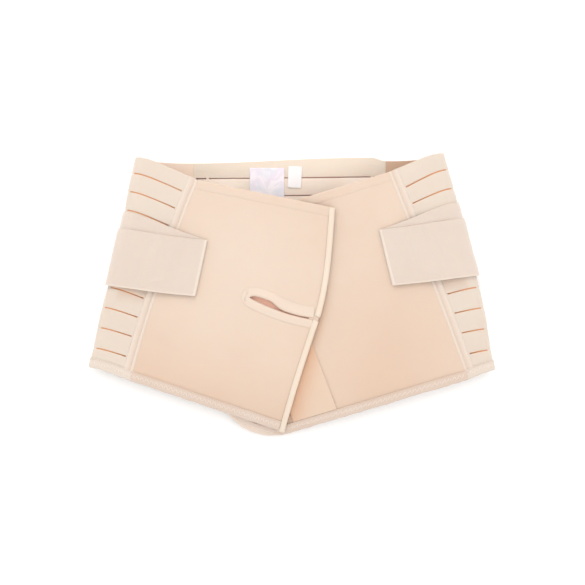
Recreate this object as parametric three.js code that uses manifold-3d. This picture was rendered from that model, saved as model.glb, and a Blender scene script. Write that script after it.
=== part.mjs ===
import * as THREE from 'three';
import Module from 'manifold-3d';
import { mergeVertices } from 'three/addons/utils/BufferGeometryUtils.js';

// Abdominal binder, wrapped shut and lying on its back. Millimetres.
// +Z is up from the surface it lies on and +Y runs to the binder's top edge.
// While it is built, y = 0 is the hem at the side folds and x = 0 lies midway between them.

// Outline, as the binder lies
const hemWidth = 428; // across both side folds at the hem
const topWidth = 327; // across both side folds at the top
const sideHeight = 222; // side fold, hem to top
const backWidth = 205; // back piece between its two seams
const backCrown = 4; // rise of the back's top edge
const lapTipX = -8.2; // lapping panel's lower corner
const lapTipDrop = 69;
const lapTopX = 45.6; // lapping panel's upper corner
const lapTopDip = 53.5;
const lapEdgeBulge = 10.8; // how far the lapping edge swells past a straight line
const underEndTopX = -59.4; // hidden end of the panel underneath
const underEndTopDip = 63.6;
const underEndHemX = -94.3;
const underEndHemDrop = 97.6;
const underCornerRadius = 61.8;

// Heights over the surface
const foldDepthHem = 8; // side fold, from its start to its crease, seen from above
const foldDepthTop = 13;
const frontRiseHem = 18; // middle of the front cloth beside the folds
const frontRiseTop = 28;
const frontArch = 8; // extra height of the front's middle
const tipDroop = 12; // how far the unsupported tip sinks
const lapFade = 75; // width over which the lower panel comes up beside the lap
const hemFade = 20; // length over which the back comes down above its hem
const strapLiftInner = 45; // strap ends hold the back up from here outwards
const strapLiftOuter = 68;
const strapLiftRows = { rise: 15, full: 42, fall: 184, end: 204 };
const strapPullRows = { rise: 30, full: 100, fall: 150, end: 215 };

// Cloth
const sewnGap = 0.3; // between pieces that lie on each other
const elasticThickness = 1.5;
const backThickness = 1.9;
const panelThickness = 2.5;
const tapeThickness = 0.9;
const tapeRounding = 0.6; // share of the tape's thickness taken off at its nose
const hemLeg = 10.4;
const lapTapeLeg = 6;
const pipingWidth = 2.8;
const pipingRise = 0.7; // above the panel
const casingWidth = 9.5;
const casingThickness = 1.8;
const patchThickness = 1.2;
const hookThickness = 1;

// Slots between the elastic strips
const slotCount = 10;
const slotWidth = 1.3;
const firstSlot = 21; // lowest slot above the hem
const slotPitch = 21.6; // between the two lowest
const pitchLoss = 0.29; // each pitch is this much closer than the one below
const slotMargin = 1.5; // cloth left between casing and slot
const seamMargin = 3; // cloth left between slot and back seam
const bridgeInset = 13.5; // stitched bridge inside each back seam
const bridgeWidth = 3;

// Straps
const strapWidth = 60.5;
const strapThickness = 1.5;
const strapTail = 100; // free end under the back, from the crease
const rootDrop = 10; // how far the sewn end has come down at the back seam
const tailDrop = 36;
const foldSlack = 0.3; // extra room where a strap rounds the crease

// Slit in the lapping panel
const slitInnerX = -44.5;
const slitInnerY = 74.2;
const slitMouthX = 29.2;
const slitMouthY = 50.4;
const slitBow = 3.6;
const slitLens = 5.2; // widest opening
const slitClosed = 0.5; // opening where the lips meet
const slitLeg = 9.5;
const slitTapeStop = 8.4; // tape ends this far from the lapping edge

// Closure
const patchWidth = 46;
const patchLength = 155;
const patchHemX = 47.7;
const hookWidth = 25;
const hookLength = 84;
const hookHemInset = 16;

// Labels inside the back
const largeLabel = { width: 36.8, length: 42, x: -26.6, top: 212, thickness: 0.5, turn: 0 };
const smallLabel = { width: 14, length: 22, x: 3.2, top: 213, thickness: 0.8, turn: 0.045 };

// How the two sides lie, as shares of the outline sizes above.
// Out columns are shares of half the width, up columns of the side height, bows of the hem width.
// strapPull is how far in, in millimetres, the wrapped strap draws the side fold.
const sides = {
  left: {
    sign: -1,
    hemOut: 1.003,
    topOut: 1.012,
    bow: 0.0014,
    strapPull: 2.2,
    hemUp: -0.004,
    topUp: 1.003,
    seamHemOut: 0.8,
    seamTopOut: 0.606,
    seamBow: 0.0089,
    seamHemUp: -0.069,
    seamTopUp: 0.891,
    backOut: 1.024,
    backTopUp: 0.977,
  },
  right: {
    sign: 1,
    hemOut: 0.997,
    topOut: 0.985,
    bow: 0.007,
    strapPull: 0.4,
    hemUp: -0.0155,
    topUp: 1.0225,
    seamHemOut: 0.859,
    seamTopOut: 0.6226,
    seamBow: 0.0047,
    seamHemUp: -0.064,
    seamTopUp: 0.93,
    backOut: 0.976,
    backTopUp: 0.988,
  },
};

// Straps: the visible fold on the front, and where each layer's upper edge meets the crease.
const strapLay = {
  left: { foldX: 89, foldY: 135.2, underSideY: 165.4, overSideY: 146.8, lean: 12.3 },
  right: { foldX: 92.2, foldY: 146.8, underSideY: 174.9, overSideY: 159, lean: 13.3 },
};

// Lapping edge: share of its height against share of its bulge.
const lapEdgeForm = [
  { up: 0, out: 0 },
  { up: 0.2, out: 0.28 },
  { up: 0.4, out: 0.68 },
  { up: 0.55, out: 1 },
  { up: 0.7, out: 0.9 },
  { up: 0.85, out: 0.5 },
  { up: 1, out: 0 },
];

// Slit: share of its length from the inner end against share of its opening.
const slitForm = [
  { along: 0, open: 0 },
  { along: 0.05, open: 0.5 },
  { along: 0.12, open: 0.8 },
  { along: 0.21, open: 0.97 },
  { along: 0.3, open: 0.98 },
  { along: 0.37, open: 0.56 },
  { along: 0.44, open: 0.2 },
  { along: 0.52, open: 0 },
  { along: 1, open: 0 },
];

// Section of a raised ridge: share of its width against share of its height.
const ridgeForm = [
  { across: 0, up: 0 },
  { across: 1, up: 0 },
  { across: 1, up: 0.55 },
  { across: 0.82, up: 0.89 },
  { across: 0.5, up: 1 },
  { across: 0.18, up: 0.89 },
  { across: 0, up: 0.55 },
];

const finishes = {
  panel: { color: 0xf3dac4, roughness: 0.85, metalness: 0 },
  elastic: { color: 0xf0e2d2, roughness: 0.8, metalness: 0 },
  strap: { color: 0xecddd0, roughness: 0.75, metalness: 0 },
  hem: { color: 0xe8d0c0, roughness: 0.9, metalness: 0 },
  binding: { color: 0xfcecd6, roughness: 0.7, metalness: 0 },
  patch: { color: 0xf0d4bc, roughness: 0.95, metalness: 0 },
  hook: { color: 0xe6d2c2, roughness: 0.6, metalness: 0 },
  largeLabel: { color: 0xe4d7e4, roughness: 0.5, metalness: 0 },
  smallLabel: { color: 0xf3eef0, roughness: 0.55, metalness: 0 },
};

const { lerp, clamp, smoothstep, degToRad } = THREE.MathUtils;
const wasm = await Module();
wasm.setup();
const binder = new THREE.Group();

// Helpers for shapes

// Smooth curve through one column of a table.
function curveThrough(rows, key, column) {
  const stations = new Float32Array(rows.map((row) => row[key]));
  const values = new Float32Array(rows.map((row) => row[column]));
  const curve = new THREE.CubicInterpolant(stations, values, 1, new Float32Array(1));
  return (share) => curve.evaluate(clamp(share, 0, 1))[0];
}

// Evenly spaced values from one end to the other.
function spread(from, to, steps) {
  return Array.from({ length: steps + 1 }, (_, i) => lerp(from, to, i / steps));
}

// Closed solid from its points and faces, turned outwards.
function closedSolid(points, faces) {
  const volume = faces.reduce((sum, [a, b, c]) => {
    const across = points[b].clone().cross(points[c]);
    return sum + points[a].dot(across);
  }, 0);
  const outward = volume > 0 ? faces : faces.map(([a, b, c]) => [a, c, b]);
  const geometry = new THREE.BufferGeometry().setFromPoints(points);
  geometry.setIndex(outward.flat());
  return geometry;
}

// Cloth between two offsets of a surface; cells that are open are cut right through.
function clothWall(columns, rows, place, low, high, isOpen = () => false) {
  const points = [];
  const faces = [];
  const corners = new Map();
  const cornerAt = (i, j, layer) => {
    const key = (i * rows.length + j) * 2 + layer;
    if (!corners.has(key)) {
      corners.set(key, points.length);
      points.push(place(columns[i], rows[j], layer === 1 ? high : low));
    }
    return corners.get(key);
  };
  const isCloth = (i, j) =>
    i >= 0 && j >= 0 && i < columns.length - 1 && j < rows.length - 1 && !isOpen(i, j);
  const edges = [
    { di: 0, dj: -1, from: [0, 0], to: [1, 0] },
    { di: 1, dj: 0, from: [1, 0], to: [1, 1] },
    { di: 0, dj: 1, from: [1, 1], to: [0, 1] },
    { di: -1, dj: 0, from: [0, 1], to: [0, 0] },
  ];
  for (let i = 0; i < columns.length - 1; i += 1) {
    for (let j = 0; j < rows.length - 1; j += 1) {
      if (!isCloth(i, j)) continue;
      const top = edges.map(({ from }) => cornerAt(i + from[0], j + from[1], 1));
      const under = edges.map(({ from }) => cornerAt(i + from[0], j + from[1], 0));
      faces.push([top[0], top[1], top[2]], [top[0], top[2], top[3]]);
      faces.push([under[0], under[2], under[1]], [under[0], under[3], under[2]]);
      edges.forEach(({ di, dj }, k) => {
        if (isCloth(i + di, j + dj)) return;
        const next = (k + 1) % edges.length;
        faces.push([under[k], under[next], top[next]], [under[k], top[next], top[k]]);
      });
    }
  }
  return closedSolid(points, faces);
}

// Section carried along stations, with flat ends.
function sweep(stations, section, place) {
  const points = stations.flatMap((station) => section.map(({ x, y }) => place(station, x, y)));
  const count = section.length;
  const last = (stations.length - 1) * count;
  const faces = [];
  for (let s = 0; s < last; s += count) {
    for (let k = 0; k < count; k += 1) {
      const next = (k + 1) % count;
      faces.push([s + k, s + next, s + count + next], [s + k, s + count + next, s + count + k]);
    }
  }
  const turn = Math.sign(THREE.ShapeUtils.area(section));
  for (const cap of THREE.ShapeUtils.triangulateShape(section, [])) {
    const area = THREE.ShapeUtils.area(cap.map((k) => section[k]));
    const [a, b, c] = Math.sign(area) === turn ? cap : [cap[0], cap[2], cap[1]];
    faces.push([a, c, b], [last + a, last + b, last + c]);
  }
  return closedSolid(points, faces);
}

// Tape folded over an edge: x is 0 at its nose and negative over the cloth.
function bindingSection(clothThickness, leg) {
  const inner = clothThickness / 2 + sewnGap;
  const outer = inner + tapeThickness;
  const round = tapeThickness * tapeRounding;
  return [
    new THREE.Vector2(-leg, outer),
    new THREE.Vector2(-round, outer),
    new THREE.Vector2(0, outer - round),
    new THREE.Vector2(0, round - outer),
    new THREE.Vector2(-round, -outer),
    new THREE.Vector2(-leg, -outer),
    new THREE.Vector2(-leg, -inner),
    new THREE.Vector2(-tapeThickness, -inner),
    new THREE.Vector2(-tapeThickness, inner),
    new THREE.Vector2(-leg, inner),
  ];
}

// Low rounded ridge of a width, from one height to another.
function ridgeSection(width, low, high) {
  return ridgeForm.map(({ across, up }) => {
    return new THREE.Vector2(width * across, lerp(low, high, up));
  });
}

function toManifold(geometry) {
  const bare = geometry.clone();
  bare.deleteAttribute('normal');
  bare.deleteAttribute('uv');
  const merged = mergeVertices(bare);
  const vertProperties = new Float32Array(merged.attributes.position.array);
  const triVerts = new Uint32Array(merged.index.array);
  return new wasm.Manifold(new wasm.Mesh({ numProp: 3, vertProperties, triVerts }));
}

function cutAway(geometry, tool) {
  const { vertProperties, triVerts } = toManifold(geometry).subtract(toManifold(tool)).getMesh();
  const result = new THREE.BufferGeometry();
  result.setAttribute('position', new THREE.BufferAttribute(vertProperties, 3));
  result.setIndex(Array.from(triVerts));
  return result;
}

function addPiece(name, geometry, finish) {
  geometry.computeVertexNormals();
  const mesh = new THREE.Mesh(geometry, new THREE.MeshStandardMaterial(finish));
  mesh.name = name;
  binder.add(mesh);
}

// Where the cloth lies

const clothInset = tapeThickness + sewnGap; // cloth ends this far inside a bound edge
const hemLift = sewnGap + tapeThickness; // the hem's tape holds the back this far up
const strapLift = 2 * (strapThickness + sewnGap);
const closureThickness = patchThickness + hookThickness;
const lapStack = panelThickness + closureThickness + 4 * sewnGap; // lapping panel over the lower
const probe = 0.5; // step over which slopes are measured
const lapEdgeOut = curveThrough(lapEdgeForm, 'up', 'out');
const slitOpen = curveThrough(slitForm, 'along', 'open');

function creaseOut(side, y) {
  const share = y / sideHeight;
  const straight = lerp((hemWidth / 2) * side.hemOut, (topWidth / 2) * side.topOut, share);
  const { rise, full, fall, end } = strapPullRows;
  const pull = side.strapPull * smoothstep(y, rise, full) * (1 - smoothstep(y, fall, end));
  return straight + hemWidth * side.bow * 4 * clamp(share * (1 - share), 0, 1) - pull;
}

function creaseY(side, share) {
  return sideHeight * lerp(side.hemUp, side.topUp, share);
}

function foldDepth(y) {
  return lerp(foldDepthHem, foldDepthTop, clamp(y / sideHeight, 0, 1));
}

// Front seam, where the panel ends and the piping begins.
function seamPoint(side, share) {
  const straight = lerp((hemWidth / 2) * side.seamHemOut, (topWidth / 2) * side.seamTopOut, share);
  const out = straight + hemWidth * side.seamBow * 4 * share * (1 - share);
  const y = sideHeight * lerp(side.seamHemUp, side.seamTopUp, share);
  return new THREE.Vector2(side.sign * out, y);
}

function seamInward(side, y) {
  const share = (y / sideHeight - side.seamHemUp) / (side.seamTopUp - side.seamHemUp);
  return creaseOut(side, y) - Math.abs(seamPoint(side, share).x);
}

function backSeamOut(side) {
  return (backWidth / 2) * side.backOut;
}

// Lapping edge of the left panel, share 0 at its tip and 1 at its top.
function lapEdge(share) {
  const x = lerp(lapTipX, lapTopX, share) + lapEdgeBulge * lapEdgeOut(share);
  return new THREE.Vector2(x, lerp(-lapTipDrop, sideHeight - lapTopDip, share));
}

function lapEdgeShare(y) {
  return (y + lapTipDrop) / (sideHeight - lapTopDip + lapTipDrop);
}

// Middle of the back cloth over the surface it lies on.
function backHeight(x, y) {
  const { rise, full, fall, end } = strapLiftRows;
  const beside = smoothstep(Math.abs(x), strapLiftInner, strapLiftOuter);
  const along = smoothstep(y, rise, full) * (1 - smoothstep(y, fall, end));
  const overHem = 1 - smoothstep(y, hemLeg, hemLeg + hemFade);
  return elasticThickness / 2 + strapLift * beside * along + hemLift * overHem;
}

// Middle of the front cloth, before the lower panel sinks under the lap.
function frontHeight(x, y) {
  const side = x < 0 ? sides.left : sides.right;
  const across = clamp(Math.abs(x) / (creaseOut(side, y) - foldDepth(y)), 0, 1);
  const rise = lerp(frontRiseHem, frontRiseTop, clamp(y / sideHeight, 0, 1));
  const arch = frontArch * (1 - across ** 2) ** 2;
  const droop = tipDroop * (Math.min(y, 0) / lapTipDrop) ** 2;
  return rise + arch - droop;
}

function lowerHeight(x, y) {
  const edgeX = lapEdge(lapEdgeShare(y)).x;
  return frontHeight(x, y) - lapStack * (1 - smoothstep(x, edgeX, edgeX + lapFade));
}

function panelHeight(side) {
  return side.sign < 0 ? frontHeight : lowerHeight;
}

// Point at an offset from a height field, along its normal.
function onHeight(height, x, y, offset) {
  const slopeX = (height(x + probe, y) - height(x - probe, y)) / (2 * probe);
  const slopeY = (height(x, y + probe) - height(x, y - probe)) / (2 * probe);
  const normal = new THREE.Vector3(-slopeX, -slopeY, 1).normalize();
  return new THREE.Vector3(x, y, height(x, y)).addScaledVector(normal, offset);
}

// A spot on a side is on the front or back a distance inward from the crease, or in the
// fold at a turn from it: 90 degrees where the front begins, -90 where the back does.
function sideMiddle(side, spot, y) {
  const out = creaseOut(side, y);
  const depth = foldDepth(y);
  if (spot.turn === undefined) {
    const x = side.sign * (out - spot.inward);
    const z = spot.zone === 'front' ? panelHeight(side)(x, y) : backHeight(x, y);
    return new THREE.Vector3(x, y, z);
  }
  const startX = side.sign * (out - depth);
  const low = backHeight(startX, y);
  const high = panelHeight(side)(startX, y);
  const angle = degToRad(spot.turn);
  const x = side.sign * (out - depth * (1 - Math.cos(angle)));
  const z = (low + high) / 2 + ((high - low) / 2) * Math.sin(angle);
  return new THREE.Vector3(x, y, z);
}

function nearbySpot(spot, step) {
  if (spot.turn !== undefined) return { turn: spot.turn + step };
  return { zone: spot.zone, inward: spot.inward + (spot.zone === 'front' ? step : -step) };
}

// Point at an outward offset from a side's cloth.
function onSide(side, spot, y, offset) {
  const across = sideMiddle(side, nearbySpot(spot, probe), y);
  across.sub(sideMiddle(side, nearbySpot(spot, -probe), y));
  const along = sideMiddle(side, spot, y + probe).sub(sideMiddle(side, spot, y - probe));
  const normal = across.cross(along).multiplyScalar(-side.sign).normalize();
  return sideMiddle(side, spot, y).addScaledVector(normal, offset);
}

// How far a row has left its height at the crease, level there and straight further in.
const bendEase = 0.2;

function rowBend(inwardShare) {
  return (Math.hypot(inwardShare, bendEase) - bendEase) / (Math.hypot(1, bendEase) - bendEase);
}

// Elastic strips

const foldTurns = spread(90, -90, 8);
const casingStart = pipingWidth + 2 * sewnGap; // casing begins this far outward of the seam
const slotStart = casingStart + casingWidth + slotMargin;
const sideColumns = [
  { zone: 'front', fromSeam: pipingWidth + 2 * sewnGap },
  { zone: 'front', fromSeam: slotStart / 2 },
  { zone: 'front', fromSeam: slotStart },
  { zone: 'front', toFold: 0.36 },
  { zone: 'front', toFold: 0.7 },
  ...foldTurns.map((turn) => ({ turn })),
  { zone: 'back', fromFold: 0.33 },
  { zone: 'back', fromFold: 0.66 },
  { zone: 'back', fromBackSeam: seamMargin },
  { zone: 'back', fromBackSeam: sewnGap / 2 },
];
const firstOpenColumn = 2;
const lastOpenColumn = sideColumns.length - 3;

// Where a strip's row at a share of the height runs: its spot and its y.
function stripSpot(side, column, share) {
  const startY = creaseY(side, share);
  const depth = foldDepth(startY);
  if (column.turn !== undefined) {
    const inward = depth * (1 - Math.cos(degToRad(column.turn)));
    const y = stripY(side, column.turn > 0 ? 'front' : 'back', inward, share);
    return { spot: { turn: column.turn }, y };
  }
  const reach = stripReach(side, column.zone, share);
  let inward = reach - (column.fromSeam ?? column.fromBackSeam ?? 0);
  if (column.toFold !== undefined) inward = lerp(reach - slotStart, depth, column.toFold);
  if (column.fromFold !== undefined) inward = lerp(depth, reach - seamMargin, column.fromFold);
  return { spot: { zone: column.zone, inward }, y: stripY(side, column.zone, inward, share) };
}

function stripEndY(side, zone, share) {
  if (zone === 'front') return seamPoint(side, share).y;
  return share * side.backTopUp * sideHeight;
}

function stripReach(side, zone, share) {
  const y = stripEndY(side, zone, share);
  return zone === 'front' ? seamInward(side, y) : creaseOut(side, y) - backSeamOut(side);
}

function stripY(side, zone, inward, share) {
  const inwardShare = inward / stripReach(side, zone, share);
  const bend = zone === 'front' ? rowBend(inwardShare) : 1 - (1 - inwardShare) ** 3;
  return lerp(creaseY(side, share), stripEndY(side, zone, share), bend);
}

function onStrip(side, column, share, offset) {
  const { spot, y } = stripSpot(side, column, share);
  return onSide(side, spot, y, offset);
}

const slotHeights = Array.from({ length: slotCount }, (_, i) => {
  return firstSlot + i * slotPitch - (pitchLoss * i * (i - 1)) / 2;
});
const stripRows = [
  clothInset / sideHeight,
  ...slotHeights.flatMap((y) => [y - slotWidth / 2, y + slotWidth / 2]).map((y) => y / sideHeight),
  1,
];
const isSlotRow = (j) => j % 2 === 1;

for (const [name, side] of Object.entries(sides)) {
  const isOpen = (i, j) => isSlotRow(j) && i >= firstOpenColumn && i < lastOpenColumn;
  const elastic = clothWall(
    sideColumns,
    stripRows,
    (column, row, offset) => onStrip(side, column, row, offset),
    -elasticThickness / 2,
    elasticThickness / 2,
    isOpen,
  );
  addPiece(`${name}_side_elastic`, elastic, finishes.elastic);
}

const backLeft = -backSeamOut(sides.left);
const backRight = backSeamOut(sides.right);
const strapLiftMiddle = (strapLiftInner + strapLiftOuter) / 2;
const backColumns = [
  backLeft + sewnGap / 2,
  backLeft + seamMargin,
  backLeft + bridgeInset,
  backLeft + bridgeInset + bridgeWidth,
  -strapLiftOuter,
  -strapLiftMiddle,
  -strapLiftInner,
  strapLiftInner,
  strapLiftMiddle,
  strapLiftOuter,
  backRight - bridgeInset - bridgeWidth,
  backRight - bridgeInset,
  backRight - seamMargin,
  backRight - sewnGap / 2,
];
const lastBackCell = backColumns.length - 2;
const sewnBackCells = [0, 2, lastBackCell - 2, lastBackCell]; // seam margins and bridges

// The back's rows rise a little towards its right end and its top edge is crowned.
const crownForm = { start: 0.05, full: 0.8, fall: 0.93 }; // shares of its width

function backY(x, share) {
  const across = (x - backLeft) / (backRight - backLeft);
  const top = sideHeight * lerp(sides.left.backTopUp, sides.right.backTopUp, across);
  const { start, full, fall } = crownForm;
  const crown = smoothstep(across, start, full) * (1 - smoothstep(across, fall, 1));
  const topSlot = slotHeights[slotCount - 1] / sideHeight;
  return top * share + backCrown * crown * smoothstep(share, topSlot, 1);
}

const backElastic = clothWall(
  backColumns,
  stripRows,
  (x, row, offset) => onHeight(backHeight, x, backY(x, row), offset),
  -elasticThickness / 2,
  backThickness - elasticThickness / 2,
  (i, j) => isSlotRow(j) && !sewnBackCells.includes(i),
);
addPiece('back_elastic', backElastic, finishes.elastic);

// Front panels

const panelRows = spread(0, 1, 13);

function inFromHem(side, share) {
  const height = sideHeight * (side.seamTopUp - side.seamHemUp);
  return lerp(clothInset / height, 1, share);
}

function leftPanelPlan(across, share) {
  const start = seamPoint(sides.left, share);
  const end = lapEdge(share);
  const reach = 1 - clothInset / start.distanceTo(end);
  return start.lerp(end, across * reach);
}

// Outline of the lower panel from its hem at the seam round the corner to its top.
function lowerOutline(inset, withHem) {
  const seamEnd = seamPoint(sides.right, 0);
  const corner = new THREE.Vector2(underEndHemX, -underEndHemDrop);
  const top = new THREE.Vector2(underEndTopX, sideHeight - underEndTopDip);
  const hemWay = seamEnd.clone().sub(corner).normalize();
  const endWay = top.clone().sub(corner).normalize();
  const hemOut = new THREE.Vector2(hemWay.y, -hemWay.x);
  const endOut = new THREE.Vector2(-endWay.y, endWay.x);
  const halfAngle = Math.acos(hemWay.dot(endWay)) / 2;
  const middle = hemWay.clone().add(endWay).normalize();
  const centre = corner.clone().addScaledVector(middle, underCornerRadius / Math.sin(halfAngle));
  const radius = underCornerRadius - inset;
  const arc = new THREE.EllipseCurve(
    centre.x,
    centre.y,
    radius,
    radius,
    hemOut.angle(),
    endOut.angle(),
    true,
  );
  const outline = new THREE.CurvePath();
  const hemStart = seamEnd.clone().addScaledVector(hemOut, -inset);
  if (withHem) outline.add(new THREE.LineCurve(hemStart, arc.getPoint(0)));
  outline.add(arc);
  const end = top.clone().addScaledVector(endOut, -inset);
  outline.add(new THREE.LineCurve(arc.getPoint(1), end));
  return outline;
}

const lowerClothEnd = lowerOutline(clothInset, false);

function lowerPanelPlan(across, share) {
  const start = seamPoint(sides.right, inFromHem(sides.right, share));
  return start.lerp(lowerClothEnd.getPoint(share), across);
}

// Slit: its lower lip is a shallow bow, its upper lip lifts off it in a lens.
const slitInner = new THREE.Vector2(slitInnerX, slitInnerY);
const slitMouth = new THREE.Vector2(slitMouthX, slitMouthY);
const slitLength = slitInner.distanceTo(slitMouth);
const slitWay = slitMouth.clone().sub(slitInner).normalize();
const slitUp = new THREE.Vector2(-slitWay.y, slitWay.x);

const slitLipStart = 0.03; // share of the slit at which its lips leave its rounded inner end

function slitLip(along, isUpper, outward) {
  const bow = -slitBow * 4 * along * (1 - along);
  const opening = isUpper ? slitLens * slitOpen(along) : 0;
  const lift = slitClosed / 2 + opening + outward;
  const point = slitInner.clone().addScaledVector(slitWay, along * slitLength);
  return point.addScaledVector(slitUp, bow + (isUpper ? lift : -lift));
}

function slitTool() {
  const shares = spread(slitLipStart, 1, 22);
  const upper = shares.map((along) => slitLip(along, true, clothInset));
  const lower = shares.map((along) => slitLip(along, false, clothInset));
  const pastEdge = [upper.at(-1), lower.at(-1)].map((point) => {
    return point.clone().addScaledVector(slitWay, lapTapeLeg);
  });
  const innerEnd = spread(-60, 60, 3).map((angle) => {
    const way = slitWay.clone().rotateAround(new THREE.Vector2(), degToRad(-angle));
    return slitInner.clone().addScaledVector(way, -clothInset - slitClosed);
  });
  const outline = new THREE.Shape([...innerEnd, ...upper, ...pastEdge, ...lower.reverse()]);
  return new THREE.ExtrudeGeometry(outline, { depth: 2 * frontRiseTop, bevelEnabled: false });
}

const leftPanel = clothWall(
  spread(0, 1, 11),
  panelRows.map((share) => inFromHem(sides.left, share)),
  (across, share, offset) => {
    const { x, y } = leftPanelPlan(across, share);
    return onHeight(frontHeight, x, y, offset);
  },
  -panelThickness / 2,
  panelThickness / 2,
);
addPiece('left_front_panel', cutAway(leftPanel, slitTool()), finishes.panel);

const rightPanel = clothWall(
  spread(0, 1, 17),
  panelRows,
  (across, share, offset) => {
    const { x, y } = lowerPanelPlan(across, share);
    return onHeight(lowerHeight, x, y, offset);
  },
  -panelThickness / 2,
  panelThickness / 2,
);
addPiece('right_front_panel', rightPanel, finishes.panel);

// Closure between the panels

const hemSlope = lowerOutline(0, true).curves[0].getTangent(0);
const patchWay = seamPoint(sides.right, 1).sub(seamPoint(sides.right, 0)).normalize();

function patchPlan(across, along) {
  const seamEnd = seamPoint(sides.right, 0);
  const x = patchHemX - patchWidth * across;
  const hemY = seamEnd.y + ((x - seamEnd.x) * hemSlope.y) / hemSlope.x;
  const start = new THREE.Vector2(x, hemY + (hemLeg + sewnGap) / Math.abs(hemSlope.x));
  return start.addScaledVector(patchWay, patchLength * along);
}

const patchLow = panelThickness / 2 + 1.5 * sewnGap;
const patch = clothWall(
  spread(0, 1, 5),
  spread(0, 1, 12),
  (across, along, offset) => {
    const { x, y } = patchPlan(across, along);
    return onHeight(lowerHeight, x, y, offset);
  },
  patchLow,
  patchLow + patchThickness,
);
addPiece('closure_loop_patch', patch, finishes.patch);

function hookPlan(across, along) {
  const share = lapEdgeShare(hookHemInset + hookLength * along - lapTipDrop);
  const start = lapEdge(share);
  const way = start.clone().sub(seamPoint(sides.left, share)).normalize();
  return start.addScaledVector(way, -(lapTapeLeg + sewnGap + hookWidth * across));
}

const hookTape = clothWall(
  spread(0, 1, 3),
  spread(0, 1, 7),
  (across, along, offset) => {
    const { x, y } = hookPlan(across, along);
    return onHeight(frontHeight, x, y, offset);
  },
  -panelThickness / 2 - sewnGap - hookThickness,
  -panelThickness / 2 - sewnGap,
);
addPiece('closure_hook_tape', hookTape, finishes.hook);

// Hems

const elasticBinding = bindingSection(elasticThickness, hemLeg);
const panelBinding = bindingSection(panelThickness, hemLeg);
const seamGapHalf = sewnGap / 2;

// Along a flat path given as points and the way out of the cloth at each.
function onPath(height, point, out, across, offset) {
  return onHeight(height, point.x + out.x * across, point.y + out.y * across, offset);
}

const leftHemStart = seamPoint(sides.left, 0);
const leftHemWay = lapEdge(0).sub(leftHemStart);
const leftHemLength = leftHemWay.length();
leftHemWay.normalize();
const leftHemOut = new THREE.Vector2(leftHemWay.y, -leftHemWay.x);
const leftHemEnd = leftHemLength - lapTapeLeg - 2 * sewnGap;
const leftHemStations = spread(seamGapHalf, leftHemEnd, 12);
const leftHem = sweep(leftHemStations, panelBinding, (along, across, offset) => {
  const point = leftHemStart.clone().addScaledVector(leftHemWay, along);
  return onPath(frontHeight, point, leftHemOut, across, offset);
});
addPiece('left_front_hem', leftHem, finishes.hem);

const lowerEdge = lowerOutline(0, true);
const [toCorner, roundCorner, lowerLength] = lowerEdge.getCurveLengths();
const rightHemStations = [
  ...spread(seamGapHalf / lowerLength, toCorner / lowerLength, 14),
  ...spread(toCorner / lowerLength, roundCorner / lowerLength, 12).slice(1),
  ...spread(roundCorner / lowerLength, 1, 5).slice(1),
];
const lowerBinding = bindingSection(panelThickness + sewnGap, hemLeg); // looser round the corner
const rightHem = sweep(rightHemStations, lowerBinding, (share, across, offset) => {
  const way = lowerEdge.getTangent(share);
  const out = new THREE.Vector2(-way.y, way.x);
  return onPath(lowerHeight, lowerEdge.getPoint(share), out, across, offset);
});
addPiece('right_front_hem', rightHem, finishes.hem);

const sideHemColumns = [{ zone: 'front', fromSeam: seamGapHalf }, ...sideColumns.slice(1)];
for (const [name, side] of Object.entries(sides)) {
  const hem = sweep(sideHemColumns, elasticBinding, (column, across, offset) => {
    const { spot, y } = stripSpot(side, column, 0);
    if (spot.zone === 'back') spot.inward += creaseOut(side, y - across) - creaseOut(side, y);
    return onSide(side, spot, y - across, offset);
  });
  addPiece(`${name}_side_hem`, hem, finishes.hem);
}

const backBinding = bindingSection(backThickness, hemLeg);
const backMiddle = (backThickness - elasticThickness) / 2;
const backHem = sweep(backColumns, backBinding, (x, across, offset) => {
  return onHeight(backHeight, x, -across, backMiddle + offset);
});
addPiece('back_hem', backHem, finishes.hem);

// Lapping edge and slit tapes

const lapBinding = bindingSection(panelThickness, lapTapeLeg);
const shareProbe = probe / sideHeight;
const mouthLean = 0.14; // the tape's ends at the slit are cut this much off square
const mouthSlack = 0.1;

function lapTape(from, to, leanFrom, leanTo) {
  return sweep(spread(0, 1, 9), lapBinding, (along, across, offset) => {
    const share = lerp(from, to, along);
    const way = lapEdge(share + shareProbe).sub(lapEdge(share - shareProbe)).normalize();
    const out = new THREE.Vector2(way.y, -way.x);
    const lean = lerp(leanFrom, leanTo, along);
    const point = lapEdge(share).addScaledVector(way, -lean * across);
    return onPath(frontHeight, point, out, across, offset);
  });
}

const mouthGap = slitClosed / 2 + mouthSlack;
const mouthUpper = lapEdgeShare(slitMouthY + mouthGap);
const mouthLower = lapEdgeShare(slitMouthY - mouthGap);
addPiece('lap_binding_upper', lapTape(mouthUpper, 1, mouthLean, 0), finishes.binding);
addPiece('lap_binding_lower', lapTape(0, mouthLower, 0, mouthLean), finishes.binding);

const slitEndLean = 0.4; // how far the tape's section turns towards the slit at its rounded end
const slitEndSetback = 0.01; // share of the slit

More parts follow.
